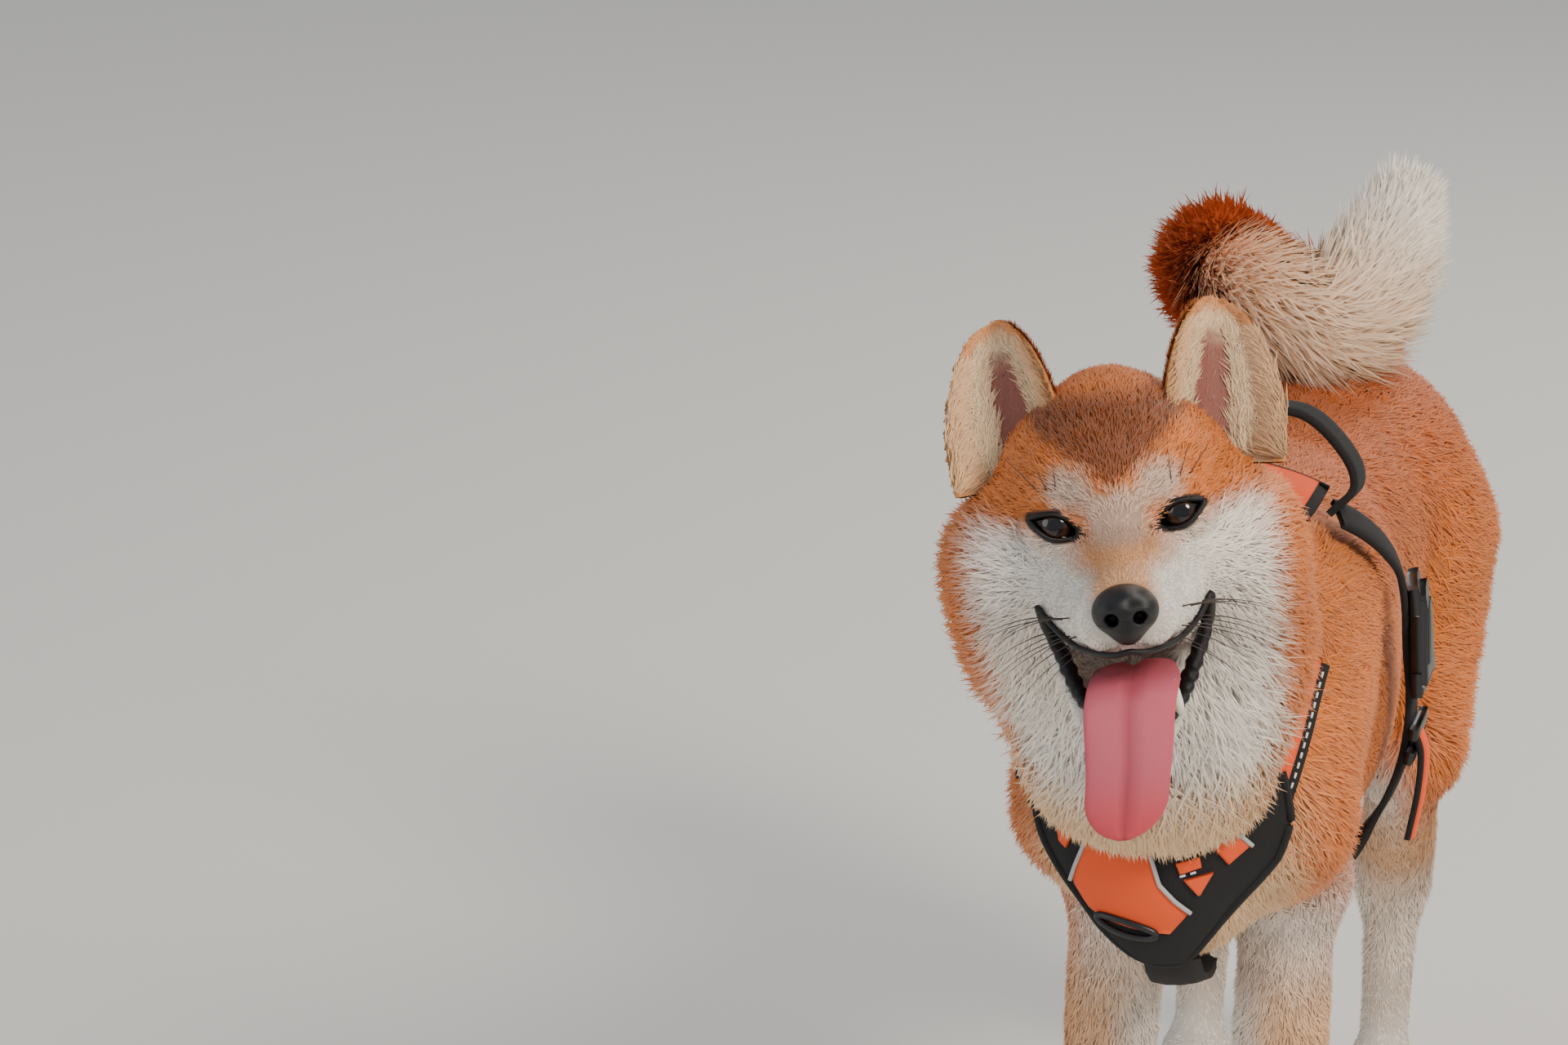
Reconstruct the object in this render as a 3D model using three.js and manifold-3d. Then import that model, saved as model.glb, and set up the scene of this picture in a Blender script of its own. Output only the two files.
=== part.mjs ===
// A shiba inu standing still in a walking harness, mouth open and tongue out, at life size.
// Millimetres, +Z up. The dog looks along -Y and its own left side is +X.
// The solids stand for the dog with its coat on. Each part of the body is its own closed piece.
import * as THREE from 'three';
import { mergeVertices } from 'three/addons/utils/BufferGeometryUtils.js';
import Module from 'manifold-3d';

const wasm = await Module();
wasm.setup();
const { Manifold, Mesh: SolidMesh } = wasm;

// Driving dimensions
const GAP = 0.3; // air between pieces that touch
const HALF = GAP / 2;
const BACK_Z = 386; // top of the coat along the back
const BRISKET_Z = 192; // underside of the chest
const FORE_X = 38; // half the spacing of the forelegs
const HIND_X = 46; // half the spacing of the hind legs
const ELBOW = { y: -90, z: 205 };
const WRIST = { y: -117, z: 78 };
const KNEE = { y: 98, z: 208 };
const HOCK = { y: 197, z: 114 };
const FORE_PAW_Y = -140;
const HIND_PAW_Y = 160;
const HEAD = { at: [-8, -269, 420], pitch: -7.3, roll: -8.9, yaw: 11.6 }; // between the eyes
const EYE = { x: 25.5, y: 1, z: 0, radius: 10.5 };
const EYE_OPENING = { width: 16.5, height: 11, slant: 22 };
const NOSE = { y: -57, z: -31, width: 27, height: 21, depth: 20 };
const MOUTH_CORNER = { y: 6, z: -37 };
const EAR = { x: 39, y: 40, z: 35, height: 48, halfWidth: 25, thick: 5, tilt: 17, turn: 24 };
const TONGUE = { halfWidth: 17, thick: 7 };
const SWAY = 12; // how far the rump stands to the dog's left of the shoulders
const TAIL_CORE = 17;
const TAIL_HAIR = 33;
const STRAP_OFF = 3.4; // a strap's inner face above the coat
const STRAP_THICK = 3;
const STRAP_HALF = 12;
const PANEL_THICK = 5;

// Materials
const finish = (color, roughness = 0.9, metalness = 0) =>
  new THREE.MeshStandardMaterial({ color, roughness, metalness });
const RED_COAT = finish('#c8763a');
const CREAM_COAT = finish('#ead9c0');
const SKIN_BLACK = finish('#171414', 0.35);
const EYE_BROWN = finish('#20130c', 0.08);
const TONGUE_PINK = finish('#d4737f', 0.45);
const TOOTH_WHITE = finish('#efe8d8', 0.3);
const WEBBING_BLACK = finish('#1b1a1a', 0.85);
const FABRIC_ORANGE = finish('#f4622a', 0.75);
const PLASTIC_BLACK = finish('#1d1f20', 0.4);

// Shapes by distance: negative inside, positive outside
const limb = (a, b, ra, rb, blend = 20, wide = 1) => ({ a, b, ra, rb, blend, wide });
const ball = (c, r, blend = 20) => ({ c, r, blend });
const pair = (make) => [...make(1), ...make(-1)];

function distanceTo(piece, x, y, z) {
  if (piece.c) {
    const px = (x - piece.c[0]) / piece.r[0];
    const py = (y - piece.c[1]) / piece.r[1];
    const pz = (z - piece.c[2]) / piece.r[2];
    const near = Math.hypot(px, py, pz);
    const slope = Math.hypot(px / piece.r[0], py / piece.r[1], pz / piece.r[2]) || 1e-9;
    return (near * (near - 1)) / slope;
  }
  const { a, b, ra, rb, wide } = piece;
  const ux = (b[0] - a[0]) / wide;
  const uy = b[1] - a[1];
  const uz = b[2] - a[2];
  const px = (x - a[0]) / wide;
  const py = y - a[1];
  const pz = z - a[2];
  const t = THREE.MathUtils.clamp((px * ux + py * uy + pz * uz) / (ux * ux + uy * uy + uz * uz), 0, 1);
  return Math.hypot(px - t * ux, py - t * uy, pz - t * uz) - (ra + (rb - ra) * t);
}

function soften(a, b, blend) {
  const h = Math.max(blend - Math.abs(a - b), 0) / blend;
  return Math.min(a, b) - (h * h * blend) / 4;
}

const fieldOf = (pieces) => (x, y, z) => {
  let d = distanceTo(pieces[0], x, y, z);
  for (let i = 1; i < pieces.length; i++) d = soften(d, distanceTo(pieces[i], x, y, z), pieces[i].blend);
  return d;
};

// Trunk, from the chest back to the rump
const trunkPieces = [
  ball([0, -60, 288], [80, 130, 96]),
  limb([0, -112, 345], [0, -20, 338], 44, 46, 24, 1.3),
  ball([-3, -146, 252], [50, 58, 66], 30),
  ...pair((s) => [
    limb([s * 40, -92, 338], [s * 41, -148, 262], 34, 33, 26),
    limb([s * 42, -146, 255], [s * FORE_X, ELBOW.y, ELBOW.z + 8], 30, 27, 20),
  ]),
  limb([0, -10, 322], [SWAY, 125, 330], 61, 63, 30, 1.06),
  limb([0, -10, 268], [SWAY, 95, 290], 60, 50, 34, 1.05),
  ball([SWAY, 146, 330], [73, 66, 66], 26),
];
const HIP = SWAY;
const STIFLE = 0.8 * SWAY;
const REAR = -0.1 * SWAY;
const hindPieces = (s) => [
  limb([HIP + s * 40, 142, 302], [STIFLE + s * 55, KNEE.y + 4, KNEE.z + 12], 49, 29, 26),
  limb([HIP + s * 42, 180, 300], [STIFLE + s * 49, 168, 212], 36, 20, 22),
  limb([STIFLE + s * 53, KNEE.y, KNEE.z - 2], [REAR + s * HIND_X, HOCK.y - 12, HOCK.z + 10], 27, 15, 18),
  limb([STIFLE + s * 48, 160, 205], [REAR + s * HIND_X, HOCK.y + 4, HOCK.z + 12], 20, 12, 34),
  ball([REAR + s * HIND_X, HOCK.y + 2, HOCK.z], [15, 16, 18], 12),
  limb([REAR + s * HIND_X, HOCK.y - 2, HOCK.z - 8], [REAR + s * HIND_X, HOCK.y - 18, 36], 15, 14, 14),
];
const forePieces = (s) => [
  limb([s * FORE_X, ELBOW.y - 2, ELBOW.z], [s * FORE_X, WRIST.y + 2, WRIST.z + 8], 29, 18, 18),
  ball([s * FORE_X, ELBOW.y + 16, ELBOW.z + 2], [17, 16, 20], 16),
  ball([s * FORE_X, WRIST.y, WRIST.z], [19, 19, 20], 12),
  limb([s * FORE_X, WRIST.y, WRIST.z - 6], [s * FORE_X, WRIST.y - 12, 34], 17, 16, 12),
];

// A paw is a flat-bottomed mass with four toes
const TOE_SPREAD = [-1.5, -0.5, 0.5, 1.5];
const pawPieces = (x, y, length) => [
  limb([x, y + 14, 21], [x, y - 6, 17], 20, 19, 12, 1.05),
  ...TOE_SPREAD.map((k) =>
    limb(
      [x + k * 8.5, y - 4, 14],
      [x + k * 10, y - length + Math.abs(k) * 5, 9.5],
      11,
      10.5,
      4,
    ),
  ),
];

// Neck and its ruff
const neckPieces = [
  limb([0, -108, 330], [-8, -205, 398], 64, 52, 30),
  ball([-8, -204, 346], [71, 54, 62], 24),
  ball([-6, -196, 302], [55, 46, 46], 22),
];

// Head, in its own frame: origin between the eyes, -Y forwards
const headPieces = [
  ball([0, 46, 12], [54, 56, 46]),
  ball([0, 18, 14], [38, 26, 34], 20),
  ...pair((s) => [
    ball([s * 20, 12, 13], [17, 16, 13], 10),
    ball([s * 45, 34, -22], [31, 33, 38], 18),
    ball([s * 44, 54, -46], [28, 32, 34], 18),
    limb([s * 24, 16, -26], [s * 12, -24, -30], 21, 16, 14),
    limb([s * 11, -14, -31], [s * 8, -48, -35], 19, 13, 10),
  ]),
  limb([0, -2, -14], [0, -50, -26], 16, 13, 12),
];
const jawPieces = [
  limb([-2, 14, -62], [-3, -34, -85], 24, 14, 12, 1.1),
  ...pair((s) => [limb([s * 22 - 2, 12, -47], [s * 11.5 - 3, -36, -81], 13, 8, 12)]),
];

const trunk = fieldOf(trunkPieces);
const headFrame = new THREE.Matrix4().compose(
  new THREE.Vector3(...HEAD.at),
  new THREE.Quaternion().setFromEuler(
    new THREE.Euler(
      THREE.MathUtils.degToRad(HEAD.pitch),
      THREE.MathUtils.degToRad(HEAD.roll),
      THREE.MathUtils.degToRad(HEAD.yaw),
      'YXZ',
    ),
  ),
  new THREE.Vector3(1, 1, 1),
);
const toHead = headFrame.clone().invert();
const skull = fieldOf([...headPieces, ...jawPieces]);
const legs = fieldOf([
  ...pair((s) => [...hindPieces(s), ...forePieces(s)]),
]);
const neck = fieldOf(neckPieces);
const point = new THREE.Vector3();

// The body without its neck and head, which the harness lies on
const LEG_BLEND = 22;
const NECK_BLEND = 16;
const HEAD_BLEND = 20;
const body = (x, y, z) => soften(trunk(x, y, z), legs(x, y, z), LEG_BLEND);
const coat = (x, y, z) => {
  const below = soften(body(x, y, z), neck(x, y, z), NECK_BLEND);
  point.set(x, y, z).applyMatrix4(toHead);
  return soften(below, skull(point.x, point.y, point.z), HEAD_BLEND);
};
const coatFromHead = (x, y, z) => {
  point.set(x, y, z).applyMatrix4(headFrame);
  const below = soften(body(point.x, point.y, point.z), neck(point.x, point.y, point.z), NECK_BLEND);
  return soften(below, skull(x, y, z), HEAD_BLEND);
};

// Sample places: each span is [from, to, about how far apart]
function places(...spans) {
  const out = [spans[0][0]];
  for (const [from, to, step] of spans) {
    const n = Math.max(1, Math.round((to - from) / step));
    for (let i = 1; i <= n; i++) out.push(from + ((to - from) * i) / n);
  }
  return out;
}

// Fills corners of the grid where the inside would touch itself only along an edge
function fillPinches(value, nx, ny, nz) {
  const steps = [1, nx, nx * ny];
  let filled = true;
  while (filled) {
    filled = false;
    for (const [u, v] of [[0, 1], [1, 2], [0, 2]])
      for (let k = 0; k < nz - (v === 2 ? 1 : 0); k++)
        for (let j = 0; j < ny - (u === 1 || v === 1 ? 1 : 0); j++)
          for (let i = 0; i < nx - (u === 0 ? 1 : 0); i++) {
            const a = i + nx * (j + ny * k);
            const [b, c, d] = [a + steps[u], a + steps[v], a + steps[u] + steps[v]];
            const inside = (n) => value[n] < 0;
            if (inside(a) !== inside(d) || inside(b) !== inside(c) || inside(a) === inside(b)) continue;
            const [p, q] = inside(a) ? [b, c] : [a, d];
            value[value[p] < value[q] ? p : q] = -0.5;
            filled = true;
          }
  }
}

// The closed surface where a field equals a level, on a grid of boxes
function skinOf(field, xs, ys, zs, level = 0) {
  const nx = xs.length;
  const ny = ys.length;
  const nz = zs.length;
  const at = (i, j, k) => i + nx * (j + ny * k);
  const value = new Float32Array(nx * ny * nz);
  for (let k = 0; k < nz; k++)
    for (let j = 0; j < ny; j++)
      for (let i = 0; i < nx; i++) {
        const rim = i === 0 || j === 0 || k === 0 || i === nx - 1 || j === ny - 1 || k === nz - 1;
        value[at(i, j, k)] = rim ? 1 : field(xs[i], ys[j], zs[k]) - level || 1e-6;
      }
  fillPinches(value, nx, ny, nz);
  const positions = [];
  const cell = new Map();
  const corner = (n) => [n & 1, (n >> 1) & 1, n >> 2];
  for (let k = 0; k < nz - 1; k++)
    for (let j = 0; j < ny - 1; j++)
      for (let i = 0; i < nx - 1; i++) {
        const sum = new THREE.Vector3();
        let count = 0;
        for (let n = 0; n < 8; n++)
          for (const bit of [1, 2, 4]) {
            if (n & bit) continue;
            const [ai, aj, ak] = corner(n);
            const [bi, bj, bk] = corner(n | bit);
            const va = value[at(i + ai, j + aj, k + ak)];
            const vb = value[at(i + bi, j + bj, k + bk)];
            if (va < 0 === vb < 0) continue;
            const t = va / (va - vb);
            sum.x += xs[i + ai] + (xs[i + bi] - xs[i + ai]) * t;
            sum.y += ys[j + aj] + (ys[j + bj] - ys[j + aj]) * t;
            sum.z += zs[k + ak] + (zs[k + bk] - zs[k + ak]) * t;
            count++;
          }
        if (!count) continue;
        sum.divideScalar(count);
        const onRim = i === 0 || j === 0 || k === 0 || i === nx - 2 || j === ny - 2 || k === nz - 2;
        if (!onRim) settle(sum, field, level, 0.3 * (xs[i + 1] - xs[i]));
        cell.set(at(i, j, k), positions.length / 3);
        positions.push(sum.x, sum.y, sum.z);
      }
  const index = [];
  const quad = (a, b, c, d, flip) => {
    const [p, q, r, s] = [a, b, c, d].map((n) => cell.get(n));
    const span = (m, n) =>
      Math.hypot(...[0, 1, 2].map((e) => positions[3 * m + e] - positions[3 * n + e]));
    const tris = span(p, r) < span(q, s) ? [p, q, r, p, r, s] : [p, q, s, q, r, s];
    if (flip) tris.reverse();
    index.push(...tris);
  };
  for (let k = 0; k < nz; k++)
    for (let j = 0; j < ny; j++)
      for (let i = 0; i < nx; i++) {
        const here = value[at(i, j, k)] < 0;
        if (i < nx - 1 && here !== value[at(i + 1, j, k)] < 0)
          quad(at(i, j - 1, k - 1), at(i, j, k - 1), at(i, j, k), at(i, j - 1, k), !here);
        if (j < ny - 1 && here !== value[at(i, j + 1, k)] < 0)
          quad(at(i - 1, j, k - 1), at(i - 1, j, k), at(i, j, k), at(i, j, k - 1), !here);
        if (k < nz - 1 && here !== value[at(i, j, k + 1)] < 0)
          quad(at(i - 1, j - 1, k), at(i, j - 1, k), at(i, j, k), at(i - 1, j, k), !here);
      }
  return new Manifold(
    new SolidMesh({
      numProp: 3,
      vertProperties: new Float32Array(positions),
      triVerts: new Uint32Array(index),
    }),
  );
}

// Moves a point onto the surface, by at most a given distance
const PROBE = 0.5;
function slopeOf(field, p) {
  return new THREE.Vector3(
    field(p.x + PROBE, p.y, p.z) - field(p.x - PROBE, p.y, p.z),
    field(p.x, p.y + PROBE, p.z) - field(p.x, p.y - PROBE, p.z),
    field(p.x, p.y, p.z + PROBE) - field(p.x, p.y, p.z - PROBE),
  ).divideScalar(2 * PROBE);
}
function settle(p, field, level, most) {
  const slope = slopeOf(field, p);
  const move = slope.multiplyScalar(-(field(p.x, p.y, p.z) - level) / Math.max(slope.lengthSq(), 0.2));
  p.add(move.clampLength(0, most));
}

// Between geometry and solids
function solidOf(geometry) {
  const bare = geometry.clone();
  bare.deleteAttribute('normal');
  bare.deleteAttribute('uv');
  const merged = mergeVertices(bare, 1e-4);
  return new Manifold(
    new SolidMesh({
      numProp: 3,
      vertProperties: new Float32Array(merged.attributes.position.array),
      triVerts: new Uint32Array(merged.index.array),
    }),
  );
}
function largest(solid) {
  return solid.decompose().reduce((a, b) => (b.volume() > a.volume() ? b : a));
}
function geometryOf(solid) {
  const m = solid.getMesh();
  const geometry = new THREE.BufferGeometry();
  geometry.setAttribute('position', new THREE.BufferAttribute(new Float32Array(m.vertProperties), 3));
  geometry.setIndex(new THREE.BufferAttribute(new Uint32Array(m.triVerts), 1));
  return geometry;
}
// Welds corners that a cut left very close together, and drops the slivers between them
const WELDS = [0.05, 0.1, 0.02, 0.2, 0.01, 0.3, 0.4];
function tidied(geometry, reach) {
  const welded = mergeVertices(geometry, reach);
  const from = welded.index.array;
  const faces = new Map();
  for (let i = 0; i < from.length; i += 3) {
    const face = [from[i], from[i + 1], from[i + 2]];
    if (new Set(face).size < 3) continue;
    const key = [...face].sort((a, b) => a - b).join('_');
    if (faces.has(key)) faces.delete(key);
    else faces.set(key, face);
  }
  welded.setIndex([...faces.values()].flat());
  return welded;
}
function isClosed(geometry) {
  const edges = new Map();
  const at = geometry.index.array;
  for (let i = 0; i < at.length; i += 3)
    for (const [a, b] of [[0, 1], [1, 2], [2, 0]]) {
      const key = `${at[i + a]}_${at[i + b]}`;
      edges.set(key, (edges.get(key) || 0) + 1);
    }
  const paired = ([key, n]) => n === 1 && edges.get(key.split('_').reverse().join('_')) === 1;
  return [...edges].every(paired) && isSpread(geometry);
}
function isSpread(geometry) {
  const p = geometry.attributes.position;
  return [0, 0.5].every((offset) => {
    const seen = new Set();
    for (let i = 0; i < p.count; i++)
      seen.add([p.getX(i), p.getY(i), p.getZ(i)].map((v) => Math.round(v * 500 + offset)).join('_'));
    return seen.size === p.count;
  });
}
function meshOf(name, solid, material) {
  const whole = geometryOf(largest(solid));
  const geometry = WELDS.map((reach) => tidied(whole, reach)).find(isClosed) ?? whole;
  geometry.computeVertexNormals();
  const mesh = new THREE.Mesh(geometry, material);
  mesh.name = name;
  return mesh;
}

// Everything on the far side of a plane, as a large block: normal points away from what is kept
const FAR = 900;
function beyond(normal, through, shift = HALF) {
  const n = new THREE.Vector3(...normal).normalize();
  const block = new THREE.BoxGeometry(FAR, FAR, FAR);
  block.applyMatrix4(
    new THREE.Matrix4().compose(
      new THREE.Vector3(...through).addScaledVector(n, FAR / 2 - shift),
      new THREE.Quaternion().setFromUnitVectors(new THREE.Vector3(0, 0, 1), n),
      new THREE.Vector3(1, 1, 1),
    ),
  );
  return solidOf(block);
}
const cut = (solid, ...planes) => planes.reduce((s, p) => s.subtract(beyond(...p)), solid);
const flip = (v) => v.map((c) => -c);

// A closed tube through rings that all have the same even number of points, faces outwards.
// Its two halves are split alike, so that the faces of a thin curved sheet never cross.
function loft(rings) {
  const solid = tubeThrough(rings);
  return solid.volume() > 0 ? solid : tubeThrough(rings.map((ring) => [...ring].reverse()));
}
function tubeThrough(rings) {
  const n = rings[0].length;
  const positions = rings.flat().flatMap((p) => [p.x, p.y, p.z]);
  const index = [];
  for (let r = 0; r < rings.length - 1; r++)
    for (let i = 0; i < n; i++) {
      const a = r * n + i;
      const b = r * n + ((i + 1) % n);
      if (i < n / 2) index.push(a, b, b + n, a, b + n, a + n);
      else index.push(a, b, a + n, b, b + n, a + n);
    }
  const last = (rings.length - 1) * n;
  for (let i = 0; i < n / 2 - 1; i++) {
    const [a, b, c, d] = [i, i + 1, n - 2 - i, n - 1 - i];
    index.push(a, d, c, a, c, b);
    index.push(last + a, last + c, last + d, last + a, last + b, last + c);
  }
  return new Manifold(
    new SolidMesh({
      numProp: 3,
      vertProperties: new Float32Array(positions),
      triVerts: new Uint32Array(index),
    }),
  );
}

// Solids from boxes and planes
function region(planes) {
  const whole = new THREE.BoxGeometry(3 * FAR, 3 * FAR, 3 * FAR);
  return planes.reduce((s, [n, at]) => s.subtract(beyond(n, at, -HALF)), solidOf(whole));
}
const keep = ([normal, at]) => [normal, at];
const drop = ([normal, at]) => [normal.map((c) => -c), at];

// Cuts between the parts of the body: [direction away from what is kept, a point on the cut]
const NECK_BASE = [[0, -1, 1], [0, -238, 262]];
const CHEST_BACK = [[0, 1, 0], [0, -14, 0]];
const LOIN = [[0, 1, 0], [0, 84, 0]];
const OCCIPUT = [[0, 0.884, -0.467], [0, 62, -38]];
const FLOOR = [[0, 0, -1], [0, 0, 0], 0];
const FORE_WRIST = [[0, 0, -1], [0, 0, 60]];
const HIND_PASTERN = [[0, 0, -1], [0, 0, 52]];
const KNEE_CUT = [[0, 0.45, -1], [0, 130, 180]];
const foreRegion = (s) => [
  [[0, 0, 1], [0, 0, ELBOW.z - 5]],
  [[-s, 0, 0], [s * 14, 0, 0]],
  [[0, 1, 0], [0, -40, 0]],
];
const thighRegion = (s) => [
  [[0, 0.42, 1], [0, 140, 262]],
  [[-s, 0, 0], [HIP + s * 8, 0, 0]],
  [[0, -1, 0], [0, LOIN[1][1], 0]],
];

const root = new THREE.Group();
root.name = 'shiba_inu';

// Torso
const bodyGrid = [places([-116, 134, 18.5]), places([-262, 252, 20]), places([150, 424, 18.5])];
const bodySkin = skinOf(body, ...bodyGrid);
const bodySpace = skinOf(body, ...bodyGrid, 1.7);
const bare = [foreRegion(1), foreRegion(-1), thighRegion(1), thighRegion(-1)].reduce(
  (solid, planes) => solid.subtract(region(planes)),
  bodySkin,
);
const torso = new THREE.Group();
root.add(torso);
torso.add(
  meshOf('chest', cut(bare, keep(NECK_BASE), keep(CHEST_BACK)), RED_COAT),
  meshOf('loin', cut(bare, drop(CHEST_BACK), keep(LOIN)), RED_COAT),
  meshOf('hindquarters', cut(bare, drop(LOIN)), RED_COAT),
);

// Legs and paws
function makeLegs(side, s) {
  const legs = new THREE.Group();
  const foreX = s * FORE_X;
  const hindX = REAR + s * HIND_X;
  const stifleX = STIFLE + s * 52;
  const fore = skinOf(body, places([foreX - 44, foreX + 44, 11.5]), places([-165, -30, 13]), places([30, 240, 24]));
  const thigh = skinOf(body, places([stifleX - 66, stifleX + 66, 14]), places([60, 240, 14]), places([130, 330, 15]));
  const shank = skinOf(body, places([hindX - 48, hindX + 49, 11.5]), places([75, 237, 13]), places([23, 231, 18]));
  const paw = (x, y) => {
    const toes = fieldOf(pawPieces(x, y, 22));
    const whole = skinOf(
      (px, py, pz) => soften(body(px, py, pz), toes(px, py, pz), 8),
      places([x - 34, x + 34, 7.4]),
      places([y - 46, y + 52, 9]),
      places([-16, 74, 9.5]),
    );
    return cut(whole, FLOOR);
  };
  legs.add(
    meshOf(`foreleg_${side}`, cut(fore, ...foreRegion(s), keep(FORE_WRIST)), CREAM_COAT),
    meshOf(`forepaw_${side}`, cut(paw(foreX, FORE_PAW_Y), drop(FORE_WRIST)), CREAM_COAT),
    meshOf(`thigh_${side}`, cut(thigh, ...thighRegion(s), keep(KNEE_CUT)), RED_COAT),
    meshOf(`hind_leg_${side}`, cut(shank, drop(KNEE_CUT), keep(HIND_PASTERN)), CREAM_COAT),
    meshOf(`hind_paw_${side}`, cut(paw(hindX, HIND_PAW_Y), drop(HIND_PASTERN)), CREAM_COAT),
  );
  return legs;
}
root.add(makeLegs('left', 1), makeLegs('right', -1));

// Neck, down to the hem of its ruff
const neckSkin = skinOf(
  coat,
  places([-104, 100, 15]),
  places([-300, -60, 15]),
  places([240, 480, 15]),
);
const throatCut = new THREE.Vector3(...OCCIPUT[1]).applyMatrix4(headFrame).toArray();
const throatWay = new THREE.Vector3(...OCCIPUT[0]).transformDirection(headFrame).toArray();
const neckSolid = largest(cut(neckSkin, drop(NECK_BASE), [throatWay.map((c) => -c), throatCut]));
root.add(meshOf('neck', neckSolid, RED_COAT));

// Head: all its pieces are made in the head's frame
const head = new THREE.Group();
head.applyMatrix4(headFrame);
root.add(head);

function sphere(radius, at, stretch = [1, 1, 1], around = 24, down = 16) {
  const g = new THREE.SphereGeometry(radius, around, down);
  g.scale(...stretch);
  g.translate(...at);
  return solidOf(g);
}

const mouthSpace = sphere(1, [0, -20, -60], [25, 48, 17], 24, 12);
const headGrid = [
  places([-94, -42, 14], [-42, 42, 7.7], [42, 94, 14]),
  places([-82, 10, 7.6], [10, 130, 15]),
  places([-118, -62, 14], [-62, 20, 7.6], [20, 76, 14]),
];
const headField = (x, y, z) => {
  point.set(x, y, z).applyMatrix4(headFrame);
  const below = soften(body(point.x, point.y, point.z), neck(point.x, point.y, point.z), NECK_BLEND);
  return soften(below, upperHead(x, y, z), HEAD_BLEND);
};
const upperHead = fieldOf(headPieces);
const headSkin = skinOf(headField, ...headGrid);
const headGrown = skinOf(headField, ...headGrid, 0.6);

// Lids: an almond ridge round each eye, and the ball behind it
function lidRing(s) {
  const rings = [];
  const turns = 22;
  const slant = THREE.MathUtils.degToRad(EYE_OPENING.slant) * s;
  for (let i = 0; i < turns; i++) {
    const a = (2 * Math.PI * i) / turns;
    const u = Math.cos(a) * (EYE_OPENING.width / 2 + 1.6);
    const v = Math.sin(a) * (EYE_OPENING.height / 2 + 1.4) * (1 - 0.18 * Math.abs(Math.cos(a)));
    const x = s * EYE.x + u * Math.cos(slant) - v * Math.sin(slant);
    const z = EYE.z + u * Math.sin(slant) + v * Math.cos(slant);
    const dx = x - s * EYE.x;
    const y = EYE.y - Math.sqrt(Math.max(4, (EYE.radius + 1) ** 2 - dx * dx - (z - EYE.z) ** 2));
    rings.push(new THREE.Vector3(x, y, z));
  }
  const path = new THREE.CatmullRomCurve3(rings, true);
  const g = new THREE.TubeGeometry(path, 24, 2.1, 6, true);
  return solidOf(g);
}
const eyeBall = (s, radius) => sphere(radius, [s * EYE.x, EYE.y, EYE.z], [1, 1, 1], 16, 10);

// Nose pad with its two nostrils
function nostril(s) {
  return sphere(1, [s * 5.6, NOSE.y - 12, NOSE.z - 1], [2.6, 5, 2.6], 10, 8).add(
    sphere(1, [s * 9.5, NOSE.y - 10, NOSE.z - 2], [3.2, 4, 1.3], 10, 8),
  );
}
const noseSkin = skinOf(
  fieldOf([
    ball([0, NOSE.y - 2, NOSE.z + 1], [NOSE.width / 2, 11.5, NOSE.height / 2]),
    ball([0, NOSE.y - 5, NOSE.z + 3], [10, 10, 7.5], 4),
    ball([0, NOSE.y - 4, NOSE.z - 5], [7, 8.5, 7.5], 3),
  ]),
  places([-18, 18, 5.2]),
  places([NOSE.y - 20, NOSE.y + 14, 5.4]),
  places([NOSE.z - 16, NOSE.z + 15, 5.2]),
);

// Ears: cupped triangles with a rounded tip, standing on the skull
function earSolid(s) {
  const rows = 9;
  const across = 6;
  const outline = (v) => EAR.halfWidth * Math.sqrt(1 - Math.pow(Math.max(0, v), 1.7));
  const sheet = (v, u, back) => {
    const w = Math.max(outline(v), 2.2);
    const cup = 13 * (1 - v) + 4;
    const x = u * w;
    const y = -cup * u * u * Math.min(1, w / 12) + (back ? EAR.thick * (1 - 0.45 * v) : 0) + 5 * v * v;
    return new THREE.Vector3(x, y, v * EAR.height);
  };
  const rings = [];
  for (let r = 0; r <= rows; r++) {
    const v = -0.4 + 1.4 * Math.pow(Math.sin((Math.PI * r) / (2 * rows)), 1.3);
    const ring = [];
    for (let i = 0; i <= across; i++) ring.push(sheet(v, -1 + (2 * i) / across, false));
    for (let i = across; i >= 0; i--) ring.push(sheet(v, -1 + (2 * i) / across, true));
    rings.push(ring);
  }
  const place = new THREE.Matrix4().compose(
    new THREE.Vector3(s * EAR.x + 2.5, EAR.y, EAR.z),
    new THREE.Quaternion().setFromEuler(
      new THREE.Euler(
        THREE.MathUtils.degToRad(-10),
        THREE.MathUtils.degToRad(s * EAR.tilt),
        THREE.MathUtils.degToRad(s * EAR.turn),
        'ZYX',
      ),
    ),
    new THREE.Vector3(1, 1, 1),
  );
  return loft(rings.map((ring) => ring.map((p) => p.applyMatrix4(place))));
}

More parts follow.
